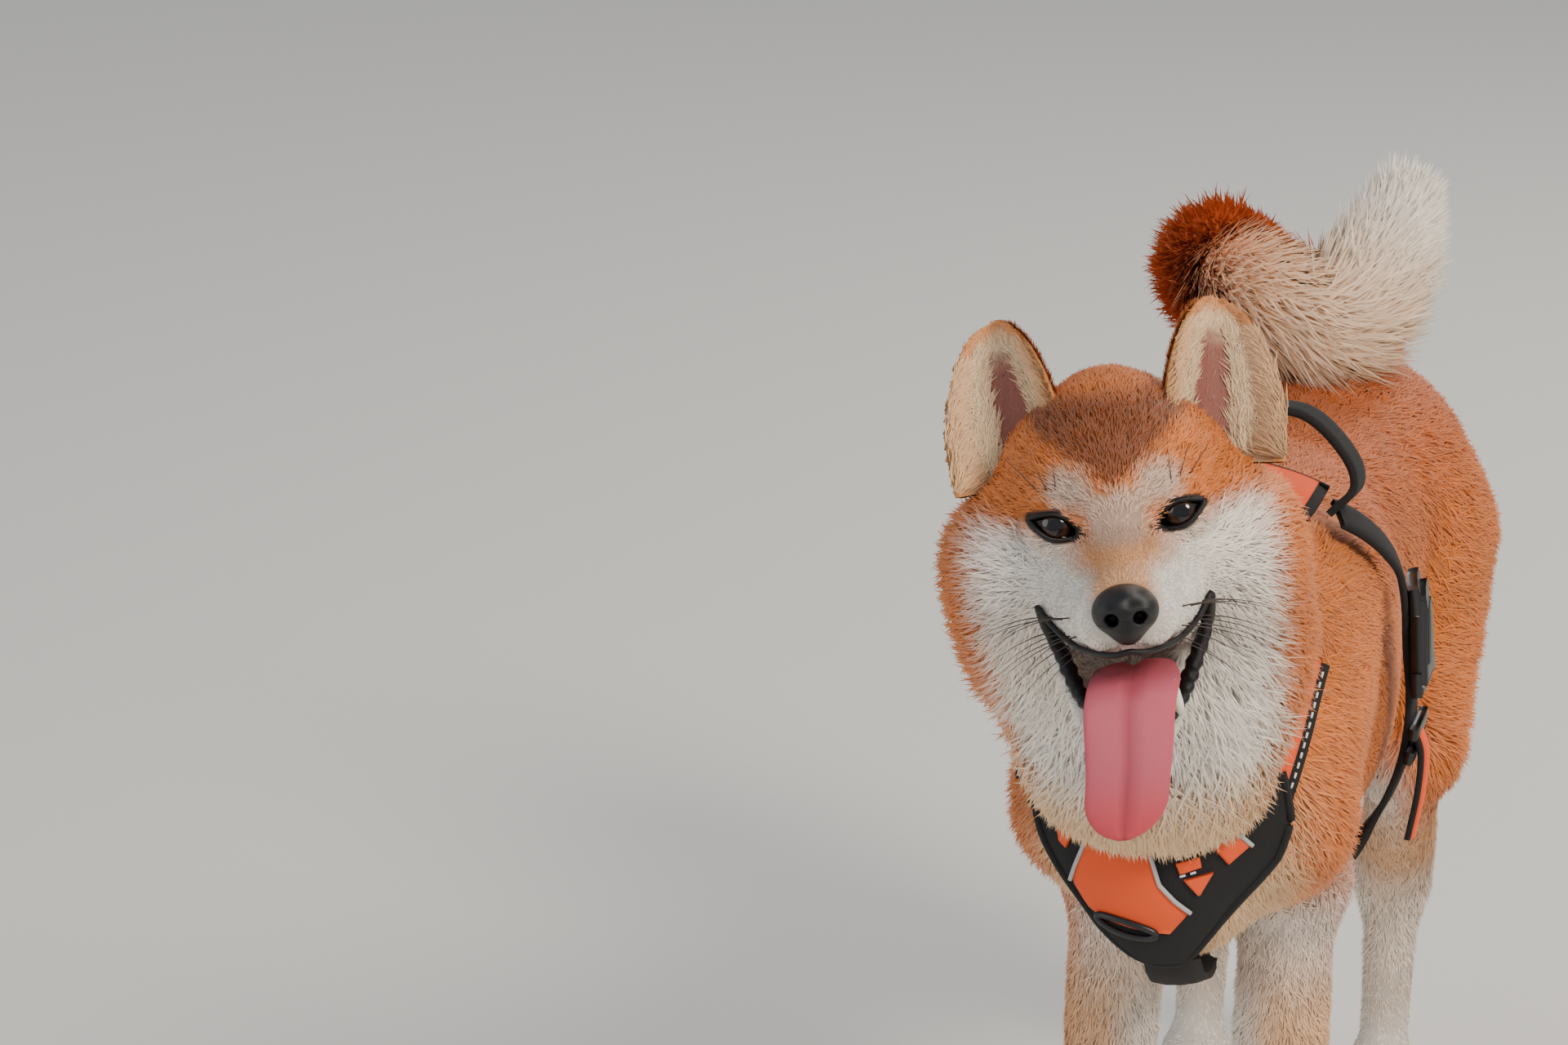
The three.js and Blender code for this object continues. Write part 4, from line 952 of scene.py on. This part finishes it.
# Lips: black bands down both sides of the open mouth, and a thin one under the muzzle
LOWER_LIPS = {
    -1: [(-36, -9, -31), (-32.5, -2, -43), (-28.5, -9, -51), (-25.5, -16, -59), (-22, -25, -67),
         (-18, -36, -73), (-12, -43, -78)],
    1: [(34.5, -13, -33), (31.5, -2, -45), (27.5, -8, -54), (23, -14, -63), (19, -24, -70),
        (15, -36, -76), (10, -43, -80)],
}
UPPER_LIP = [
    (-36, -11, -31), (-29, -21, -40), (-21, -33, -46), (-13, -48, -47.5), (-6, -57, -47.5), (0, -59, -46.5),
    (6, -57, -47.5), (13, -48, -47.5), (21, -33, -46), (28, -20, -41), (34.5, -14, -32),
]
rng = np.random.default_rng(SEED)
lips = []
for s, path in LOWER_LIPS.items():
    line = tail_line(path, 44)
    t = np.linspace(0, 1, len(line))
    notched = 1 + 0.16 * np.sin(t * 70) * smooth(0.2, 0.5, t)
    wide = (1.5 + 2.1 * np.sin(math.pi * np.clip(t * 1.05, 0, 1)) ** 0.8) * notched
    lips.append(tube(line, wide, 10, 0.8))
lips.append(tube(tail_line(UPPER_LIP, 70), 1.3, 8))
head_piece("lips", lips, LIP, "nose_leather")

# Tongue: broad, grooved down the middle, over the lip and down
TONGUE_HALF, TONGUE_THICK, TONGUE_AROUND = 17.0, 7.0, 36
TONGUE_LINE = tail_line([
    (0, 2, -62), (0, -24, -62), (-1, -44, -64), (-3, -55, -71), (-5, -58, -88), (-8, -56, -106),
    (-11, -54, -122),
], 60)


def tongue_mesh(half=TONGUE_HALF, thick=TONGUE_THICK, around=TONGUE_AROUND):
    t = np.linspace(0, 1, len(TONGUE_LINE))[:, None]
    along = unit(np.gradient(TONGUE_LINE, axis=0))
    out = np.stack([0 * along[:, 0], along[:, 2], -along[:, 1]], 1)
    out = unit(out)[:, None]
    end = np.sqrt(np.maximum(0.004, 1 - (np.maximum(0, (t - 0.84) / 0.163)) ** 2))
    a = np.linspace(0, 2 * math.pi, around, endpoint=False)[None]
    w = half * (1 + 0.1 * np.sin(math.pi * np.minimum(1, t * 1.3))) * end
    h = thick / 2 * (0.5 + 0.5 * end)
    across = np.sign(np.cos(a)) * np.abs(np.cos(a)) ** 0.85
    high = np.sin(a)
    dent = 2.2 * np.exp(-((across * w) / 1.8) ** 2) * end * (high > 0)
    wave = 0.5 * np.sin(7 * t + 2 * across) * np.abs(across) * end
    lift = high * h - dent + wave
    verts = TONGUE_LINE[:, None] + out * lift[..., None] + np.array([1.0, 0, 0]) * (across * w)[..., None]
    n = len(TONGUE_LINE)
    half_way = around // 2
    caps = [[base + o for o in (f, f + 1, around - 2 - f, around - 1 - f)] for base in (0, (n - 1) * around)
            for f in range(half_way - 1)]
    return verts.reshape(-1, 3), np.concatenate([ring_quads(n, around), np.array(caps)])


def tongue_colors():
    """Pink, redder towards the tip and the sides, with painted shade along the middle groove."""
    along = np.repeat(np.linspace(0, 1, len(TONGUE_LINE)), TONGUE_AROUND)
    turn_round = np.linspace(0, 2 * math.pi, TONGUE_AROUND, endpoint=False)
    out = np.tile(np.abs(np.cos(turn_round)), len(TONGUE_LINE))
    return layered(
        plain(srgb(206, 96, 112), along),
        (srgb(214, 66, 76), smooth(0.72, 0.98, along) * 0.8),
        (srgb(214, 74, 86), 0.5 * smooth(0.86, 1.0, out)),
        # Darker along the middle: painted shade in the groove
        (srgb(150, 58, 72), 0.55 * smooth(0.22, 0.0, out) * smooth(0.3, 0.6, along)),
    )


tongue = head_piece("tongue_soft", [tongue_mesh()], PINK, "tongue", "tongue")
paint(tongue, tongue_colors())


def cone(base, tip, radius, around=10, bend=0.0):
    base, tip = np.array(base, float), np.array(tip, float)
    share = np.array([0, 0.35, 0.7, 1.0])
    line = base + (tip - base) * share[:, None]
    line[:, 1] += bend * np.sin(share * math.pi)
    return tube(line, radius * np.array([1, 0.88, 0.55, 0.08]), around)


teeth = [cone((s * 17.5 - 1, -36, -76), (s * 17.2 - 1, -41, -62), 2.5) for s in (1, -1)]
for s in (1, -1):
    for x in (3, 7, 11):
        arch = 0.02 * x * x
        teeth.append(cone((s * x, -40.5 + arch, -77), (s * x, -43 + arch, -71), 1.3))
head_piece("teeth", teeth, TOOTH, "coat_cream")


# Ears: cupped leaves with rolled rims, red behind and cream inside
def ear_leaf(s, u, v, back):
    w = np.maximum(26.5 * np.sqrt(np.maximum(0, 1 - np.maximum(0, v) ** 1.55)), 0.6)
    cup = 13 * (1 - v) + 4
    y = -cup * u * u * np.minimum(1, w / 12) + back * 5 * (1 - 0.45 * v) + 5 * v * v
    p = np.stack([u * w, y, v * 48.0 + 0 * u], -1)
    place_ear = (
        Matrix.Translation((s * 39 + 2.5, 40, 35))
        @ Matrix.Rotation(math.radians(s * 24), 4, "Z")
        @ Matrix.Rotation(math.radians(s * 17), 4, "Y")
        @ Matrix.Rotation(math.radians(-10), 4, "X")
    )
    return turn(p.reshape(-1, 3), HEAD @ place_ear).reshape(p.shape)


def ear_colors(u, v, back):
    rim = smooth(0.72, 0.92, np.abs(u)) + smooth(0.78, 0.92, v)
    inner = layered(
        plain(srgb(150, 88, 74), u),
        (CREAM, smooth(0.30, 0.62, np.abs(u))),
        (CREAM, smooth(0.55, 0.8, v)),
        (srgb(224, 148, 84), np.clip(rim, 0, 1)),
    )
    return np.where(back[:, None] > 0, plain(srgb(206, 128, 66), u), inner)


EAR_ACROSS = 25
EAR_V = -0.4 + 1.4 * np.sin(np.linspace(0, math.pi / 2, 40)) ** 1.2
for tile, (side_name, s) in enumerate(SIDES, 8):
    u_line = np.concatenate([np.linspace(-1, 1, EAR_ACROSS), np.linspace(1, -1, EAR_ACROSS)])
    back_line = np.concatenate([np.zeros(EAR_ACROSS), np.ones(EAR_ACROSS)])
    uu, vv = np.meshgrid(u_line, EAR_V)
    bb = np.tile(back_line, (len(EAR_V), 1))
    verts = ear_leaf(s, uu, vv, bb)
    n, around = uu.shape
    top = (n - 1) * around
    cap = [[top + f, top + f + 1, top + around - 2 - f, top + around - 1 - f] for f in range(EAR_ACROSS - 1)]
    quads = np.concatenate([ring_quads(n, around), cap])
    if s > 0:
        quads = quads[:, ::-1]
    obj = new_mesh(f"ear_skin_{side_name}", verts.reshape(-1, 3), quads)
    # Ear skin darkened to 0.8 as painted shade under the ear's hair
    paint(obj, ear_colors(uu.ravel(), vv.ravel(), bb.ravel()) * 0.8)
    obj.data.materials.append(COAT)
    ride(obj, "coat_red", f"ear_{side_name}")

    # Hair of the ear: short outside and on the rim, long and pale inside
    count = tuft_count(9000)
    back = (rng.random(count) < 0.5).astype(float)
    edge = rng.random(count) < 0.35
    at_rim = np.sign(rng.random(count) - 0.5) * rng.uniform(0.86, 1.0, count)
    u = np.where(edge, at_rim, rng.uniform(-1, 1, count))
    v = rng.uniform(-0.38, 0.985, count)
    hollow = (back < 1) & (np.abs(u) < 0.42) & (v < 0.6) & (rng.random(count) < 0.75)
    u, v, back = u[~hollow], v[~hollow], back[~hollow]
    at = ear_leaf(s, u, v, back)
    step = 0.01
    up_v = unit(ear_leaf(s, u, v + step, back) - at)
    up_u = unit(ear_leaf(s, np.clip(u + step, -1.2, 1.2), v, back) - at)
    n_out = unit(np.cross(up_u, up_v)) * np.where(back > 0, -1, 1)[:, None]
    far = turn(np.array([[0, -1.0, 0]]), HEAD) - turn(np.zeros((1, 3)), HEAD)
    facing = np.where(back > 0, -1, 1)[:, None] * np.sign(np.sum(n_out * far, axis=1, keepdims=True))
    n_out = n_out * facing
    rim = smooth(0.8, 1.0, np.abs(u))
    sweep = np.where(back > 0, 0.35, -0.75) * np.sign(u) * smooth(0.25, 0.9, np.abs(u))
    flow = up_v + up_u * sweep[:, None]
    inner = (back < 1) & (np.abs(u) > 0.35) & (v < 0.7)
    length = np.where(inner, 11.0 - 4 * v, 4.5) * rng.uniform(0.8, 1.1, len(u))
    length = length * (1 - 0.35 * smooth(0.85, 1, v))
    color = ear_colors(u, v, back)
    color = mix(color, CREAM, 0.6 * inner)
    across = tile % 4 + 0.1 + 0.4 * (u * 0.5 + 0.5) + 0.4 * back
    uv = np.stack([across / 4, (tile // 4 + 0.1 + 0.5 * (v + 0.4)) / 4], 1)
    tip = mix(color, WHITE, np.full(len(u), 0.15))
    lift, width = 0.22 + 0.25 * rim, 0.4 + 0.04 * length
    obj = tufts(f"coat_ear_{side_name}", at, n_out, flow, length, lift, width, color, tip, uv, rng)
    ride(obj, "coat_red")

# Whiskers
whiskers = []
for s in (1, -1):
    for row in range(3):
        for k in range(4):
            root = np.array([s * (17 + 2.5 * k - row), -38 + 7 * k + 2 * row, -33 - 4.5 * row])
            root = settle_on_head([root])[0]
            out = np.array([s * (1.0 + 0.1 * k), 0.25 + 0.12 * k, 0.1 - 0.25 * row])
            reach = rng.uniform(26, 40)
            share = np.linspace(0, 1, 7)[:, None]
            line = root + unit(out) * reach * share + np.array([0, 3.0, -11.0]) * share ** 2
            whiskers.append(tube(line, np.linspace(0.30, 0.08, 7), 4))
    for k in range(3):
        root = settle_on_head([[s * (17 + 4 * k), 4, 14]])[0]
        share = np.linspace(0, 1, 6)[:, None]
        line = root + np.array([s * 6.0 * k, -4, 17.0]) * share + np.array([0, 6.0, -2]) * share ** 2
        whiskers.append(tube(line, np.linspace(0.28, 0.08, 6), 4))
head_piece("whiskers", whiskers, WHISKER, "nose_leather")

# Claws at the ends of the toes
claws = []
for px, py in PAWS:
    for k in (-1.5, -0.5, 0.5, 1.5):
        y = py - TOE_REACH + 5 * abs(k) - 7.5
        claws.append(cone((px + k * 10.2, y + 2, 9.5), (px + k * 10.6, y - 7, 3.2), 2.3, bend=-0.8))
verts, faces = joined(claws)
obj = new_mesh("claws", verts, faces)
obj.data.materials.append(CLAW)
ride(obj, "nose_leather")


# Harness materials, each with its slot
WEB = bumped(simple("webbing_black", srgb(26, 25, 26), 0.85), 2600, 0.6), "harness_black"
ORANGE = bumped(simple("fabric_orange", srgb(240, 84, 28), 0.72), 3200, 0.35), "harness_orange"
BINDING = bumped(simple("binding_black", srgb(20, 20, 21), 0.8), 2600, 0.5), "harness_black"
PIPING = simple("piping_grey", srgb(176, 176, 174), 0.45), "harness_black"
STITCH = simple("stitch_white", srgb(228, 226, 220), 0.6), "harness_black"
PLASTIC = simple("plastic_black", srgb(24, 25, 27), 0.38), "harness_plastic"
GREEN_GREY = simple("plastic_grey", srgb(56, 62, 58), 0.45), "harness_plastic"

STRAP_OFF, STRAP_THICK, PANEL_THICK, STRAP_HALF = 3.4, 3.0, 5.0, 12.0
PATCH_LIFT = STRAP_OFF + PANEL_THICK + 1.5
CHEST_FRONT, ABOVE_BACK = -215.0, 400


def on_coat(points, height, rounds=14):
    """Places moved to a height above the coat."""
    q = np.array(points, float)
    shape = q.shape
    q = q.reshape(-1, 3)
    for _ in range(rounds):
        d = sample(bare, q) - height
        q -= slope(bare, q) * np.clip(d, -30, 30)[:, None]
    return q.reshape(shape)


def leaf(front, back):
    """A closed sheet between two grids of places."""
    n, m = front.shape[:2]
    rings = np.concatenate([front, back[:, ::-1]], 1)
    around = 2 * m
    last = (n - 1) * around
    caps = [[f, f + 1, around - 2 - f, around - 1 - f] for f in range(m - 1)]
    caps += [[last + c for c in cap[::-1]] for cap in caps]
    return rings.reshape(-1, 3), np.concatenate([ring_quads(n, around), np.array(caps)])


def sheet(rows, inner, outer, crown=0.6):
    """A sheet on the coat whose edges are a little lower than its middle."""
    rows = np.asarray(rows, float)
    n, m = rows.shape[:2]
    i, k = np.linspace(-1, 1, n)[:, None], np.linspace(-1, 1, m)[None]
    edge = np.maximum(smooth(0.86, 1.0, np.abs(i) + 0 * k), smooth(0.8, 1.0, np.abs(k) + 0 * i))
    low_side = on_coat(rows, inner)
    high_side = on_coat(rows, outer)
    out = unit(high_side - low_side)
    return leaf(high_side - out * (edge * crown)[..., None], low_side)


def lerp_line(points, share):
    """Places along a bent line, by share of its corners."""
    points = np.asarray(points, float)
    return on_line(share, np.linspace(0, 1, len(points)), points)


def front_rows(left, right, down, across):
    """Grid of places before the chest between two bent edges given as (x, z)."""
    t = np.linspace(0, 1, down)
    a, b = lerp_line(left, t), lerp_line(right, t)
    k = np.linspace(0, 1, across)[None, :, None]
    xz = a[:, None] * (1 - k) + b[:, None] * k
    return np.stack([xz[..., 0], np.full(xz.shape[:2], CHEST_FRONT), xz[..., 1]], -1)


def strap_rows(points, half, steps, height=STRAP_OFF, across=5):
    path = tail_line(on_coat(points, height), steps)
    along = unit(np.gradient(path, axis=0))
    side = unit(np.cross(along, slope(bare, path)))
    return path[:, None] + side[:, None] * np.linspace(-half, half, across)[None, :, None]


def strap(points, half, steps=60, lift=0.0, thick=STRAP_THICK):
    return sheet(strap_rows(points, half, steps), STRAP_OFF + lift, STRAP_OFF + lift + thick, 0.4)


def band(points, half, thick, steps=60, side=(0.1, 1.0, 0.0)):
    """A flat band through the air."""
    path = tail_line(points, steps)
    along = unit(np.gradient(path, axis=0))
    flat = np.tile(np.array(side, float), (len(path), 1))
    flat = unit(flat - along * np.sum(flat * along, axis=1, keepdims=True))
    up = np.cross(flat, along)
    across = np.linspace(-half, half, 5)[None, :, None] * flat[:, None]
    rise = up[:, None] * thick / 2
    return leaf(path[:, None] + across + rise, path[:, None] + across - rise)


def dashes(line, offset, height, every=4.6, long_=2.5, radius=0.55):
    """Stitches beside a line on the coat."""
    line = np.asarray(line, float)
    run = run_of(line)
    n = slope(bare, line)
    side = unit(np.cross(unit(np.gradient(line, axis=0)), n))
    shifted = on_coat(line + side * offset, height, 4)
    parts = []
    for start in np.arange(1.0, run[-1] - long_, every):
        share = start + np.linspace(0, long_, 3)
        parts.append(tube(on_line(share, run, shifted), radius, 6))
    return parts


def harness_piece(name, parts, look, *nodes):
    mat, slot = look
    verts, faces = joined(parts)
    obj = new_mesh(name, verts, faces)
    obj.data.materials.append(mat)
    return ride(obj, slot, *nodes)


PANEL_RIGHT = [(-3, 186), (-17, 194), (-35, 211), (-50, 232), (-63, 254), (-73, 276), (-80, 304)]
PANEL_LEFT = [(14, 186), (22, 194), (32, 211), (45, 232), (60, 254), (68, 276), (68, 304)]
panel_rows = front_rows(PANEL_RIGHT, PANEL_LEFT, 36, 26)
TOP = STRAP_OFF + PANEL_THICK
harness_piece("chest_panel", [sheet(panel_rows, STRAP_OFF, TOP, 1.6)], WEB, "harness_chest_panel")
edges = [on_coat(panel_rows[:, k], TOP - 2.0) for k in (0, -1)] + [on_coat(panel_rows[0], TOP - 2.0)]
harness_piece("chest_binding", [tube(e, 2.1, 8) for e in edges], BINDING)

PATCHES = [
    ([(-33, 262), (-40, 248), (-44, 237), (-37, 225), (-29, 222)],
     [(-3, 262), (2, 245), (9, 237), (16, 230), (7, 218)]),
    ([(20, 269), (34, 253)], [(29, 277), (44, 262)]),
    ([(13, 247), (20, 239)], [(27, 250), (21, 239)]),
    ([(9, 255), (11, 250)], [(20, 258), (21, 253)]),
    ([(-65, 279), (-63, 270)], [(-54, 276), (-57, 267)]),
    ([(-52, 267), (-50, 257)], [(-41, 264), (-46, 254)]),
]
patches = [sheet(front_rows(a, b, 14, 14), TOP - 0.6, PATCH_LIFT, 0.5) for a, b in PATCHES]
harness_piece("chest_patches", patches, ORANGE, "harness_chest_patch", "harness_side_patch")


def front_line(points, height, steps=30):
    line = lerp_line(points, np.linspace(0, 1, steps))
    return on_coat(np.stack([line[:, 0], np.full(len(line), CHEST_FRONT), line[:, 1]], 1), height)


pipes = [
    [(-33, 262), (-40, 248), (-45, 237)], [(-3, 262), (2, 245), (9, 237), (17, 230)], [(28, 278), (45, 262)],
]
piping = [tube(front_line(pipe, PATCH_LIFT - 0.3), 1.0, 8) for pipe in pipes]
harness_piece("chest_piping", piping, PIPING)
loop_angle = np.linspace(0, 2 * math.pi, 41)
loop = np.stack([-15 + 15.5 * np.cos(loop_angle), np.full(41, CHEST_FRONT),
                 220.5 + 4.2 * np.sin(loop_angle) - 2.0 * np.cos(loop_angle)], 1)
harness_piece("chest_loop", [tube(on_coat(loop, PATCH_LIFT + 0.8), 1.5, 8)], PLASTIC)
stitches = dashes(front_line([(8, 256.5), (21, 260)], TOP + 0.4), 0.0, TOP + 0.4)
stitches += dashes(front_line([(10, 248.5), (22, 251.5)], TOP + 0.4), 0.0, TOP + 0.4)


def shoulder_path(s):
    return [(s * 52 - 9, -186, 280), (s * 55 - 7, -172, 303), (s * 57 - 5, -152, 330)]


for side_name, s in SIDES:
    path = shoulder_path(s)
    black = strap(path, 9.0, 40)
    orange = strap(path, 4.2, 40, STRAP_THICK - 0.6, 1.2)
    harness_piece(f"shoulder_web_{side_name}", [black], WEB, f"harness_shoulder_{side_name}")
    harness_piece(f"shoulder_orange_{side_name}", [orange], ORANGE)
    line = tail_line(on_coat(path, TOP), 50)
    for side in (-6.4, 6.4):
        stitches += dashes(line, side, STRAP_OFF + STRAP_THICK + 0.2)
harness_piece("stitches", stitches, STITCH)


def girth_path(s):
    return [
        (s * 60 - 4, -98, 380), (s * 70, -84, 362), (s * 74, -71, 350), (s * 81, -59, 325),
        (s * 84, -54, 290), (s * 76, -47, 240), (s * 46, -42, 200), (s * 9, -40, 186),
    ]


def top_grid(x_ends, y_ends, across, along):
    """Grid of places above the back."""
    return np.array([[(x, y, ABOVE_BACK) for x in np.linspace(*x_ends, across)]
                     for y in np.linspace(*y_ends, along)], float)


back_rows = top_grid((-56, 56), (-84, -128), 30, 14)
harness_piece("back_web", [sheet(back_rows, STRAP_OFF, TOP, 1.4)], WEB, "harness_back_panel")
top_rows = top_grid((20, 50), (-89, -124), 14, 10)
back_patches = [sheet(top_rows * [s, 1, 1], TOP - 0.5, PATCH_LIFT, 0.4) for s in (1, -1)]
harness_piece("back_patch", back_patches, ORANGE)
rear_edge = on_coat(np.array([(x, -84.5, ABOVE_BACK) for x in np.linspace(-56, 56, 50)], float), TOP - 1.6)
harness_piece("back_binding", [tube(rear_edge, 2.0, 8)], BINDING)
BELLY = [(0, -30, 186), (0, -52, 186), (0, -90, 184), (1, -130, 184), (3, -168, 191), (5, -196, 200)]
harness_piece("belly_web", [strap(BELLY, STRAP_HALF, 50)], WEB, "harness_belly_strap")
for side_name, s in SIDES:
    harness_piece(f"girth_web_{side_name}", [strap(girth_path(s), 9.5, 90)], WEB,
                  f"harness_girth_{side_name}")
    over = STRAP_THICK + 0.3
    buckle = [strap([(s * 81, -58, 336), (s * 84, -55, 296)], 12.5, 20, over, 7.0),
              strap([(s * 81, -58, 341), (s * 81.6, -57.4, 329)], 14.0, 12, over, 4.5),
              strap([(s * 84, -55, 302), (s * 84.6, -54.4, 291)], 14.0, 12, over, 5.0)]
    harness_piece(f"buckle_shell_{side_name}", buckle, PLASTIC, f"harness_buckle_{side_name}")
    face = [strap([(s * 81.8, -57.6, 330), (s * 83.4, -56, 304)], 7.5, 16, over + 6.8, 1.2)]
    harness_piece(f"buckle_face_{side_name}", face, GREEN_GREY)
    slot_ = [strap([(s * 83.8, -55.5, 301), (s * 84.2, -55, 294)], 4.0, 10, over + 4.6, 1.0)]
    harness_piece(f"buckle_slot_{side_name}", slot_, ORANGE)
    bars = [strap([(s * 83, -53, 277), (s * 82.4, -52.4, 272)], 13.0, 10, over, 4.0),
            strap([(s * 81.8, -52, 267), (s * 81, -51, 261)], 13.0, 10, over, 4.0)]
    harness_piece(f"adjuster_bars_{side_name}", bars, PLASTIC, f"harness_adjuster_{side_name}")
HANDLE = [
    (-8, -92, 398), (-4, -91, 410), (16, -90, 422), (40, -91, 423), (58, -92, 408), (64, -94, 393),
    (53, -96, 380),
]
harness_piece("handle_band", [band(HANDLE, 6.5, 3.4, 80, (0.12, 1, 0))], WEB, "harness_handle")
STRAP_END = [(88, -55, 272), (91, -55, 262), (90, -55, 244), (86, -54, 222)]
harness_piece("strap_end_web", [band(STRAP_END, 6.5, 2.4, 40)], WEB, "harness_strap_end")
stripe = np.array(STRAP_END, float) + [0.4, -0.4, 0]
harness_piece("strap_end_stripe", [band(stripe, 3.4, 3.4, 40)], ORANGE)

# Floor, light and camera
floor_mat = simple("floor_pale", srgb(222, 220, 214), 0.9)
bpy.ops.mesh.primitive_plane_add(size=40, location=(0, 0, 0))
floor = bpy.context.object
floor.name = "floor"
floor.data.materials.append(floor_mat)

world = bpy.data.worlds.new("studio")
bpy.context.scene.world = world
world.use_nodes = True
world.node_tree.nodes["Background"].inputs["Color"].default_value = (0.9, 0.93, 1.0, 1)
world.node_tree.nodes["Background"].inputs["Strength"].default_value = 0.55


def area_light(name, at, aim, size, power, color=(1, 1, 1)):
    data = bpy.data.lights.new(name, "AREA")
    data.shape = "DISK"
    data.size = size
    data.energy = power
    data.color = color
    obj = bpy.data.objects.new(name, data)
    obj.location = at
    obj.rotation_euler = (Vector(aim) - Vector(at)).to_track_quat("-Z", "Y").to_euler()
    bpy.context.scene.collection.objects.link(obj)


area_light("key", (1.7, -1.3, 2.0), (0, -0.1, 0.3), 0.9, 66, (1.0, 0.92, 0.80))
area_light("fill", (-2.2, -2.0, 1.4), (0, 0, 0.3), 2.0, 22, (0.9, 0.95, 1.0))
area_light("rim", (0.9, 2.0, 1.9), (0, 0, 0.35), 1.2, 30, (1.0, 0.92, 0.8))

CAMERA_AT = (416.0, -2528.0, 1059.0)
CAMERA_YAW, CAMERA_PITCH, LENS = 14.0, 15.6, 135.0
camera_data = bpy.data.cameras.new("camera")
camera_data.lens = LENS
camera_data.sensor_width = 36.0
camera_data.clip_end = 100.0
camera = bpy.data.objects.new("camera", camera_data)
camera.location = place([CAMERA_AT])[0]
camera.rotation_euler = Euler((math.radians(90 - CAMERA_PITCH), 0, math.radians(CAMERA_YAW)), "XYZ")
bpy.context.scene.collection.objects.link(camera)
bpy.context.scene.camera = camera
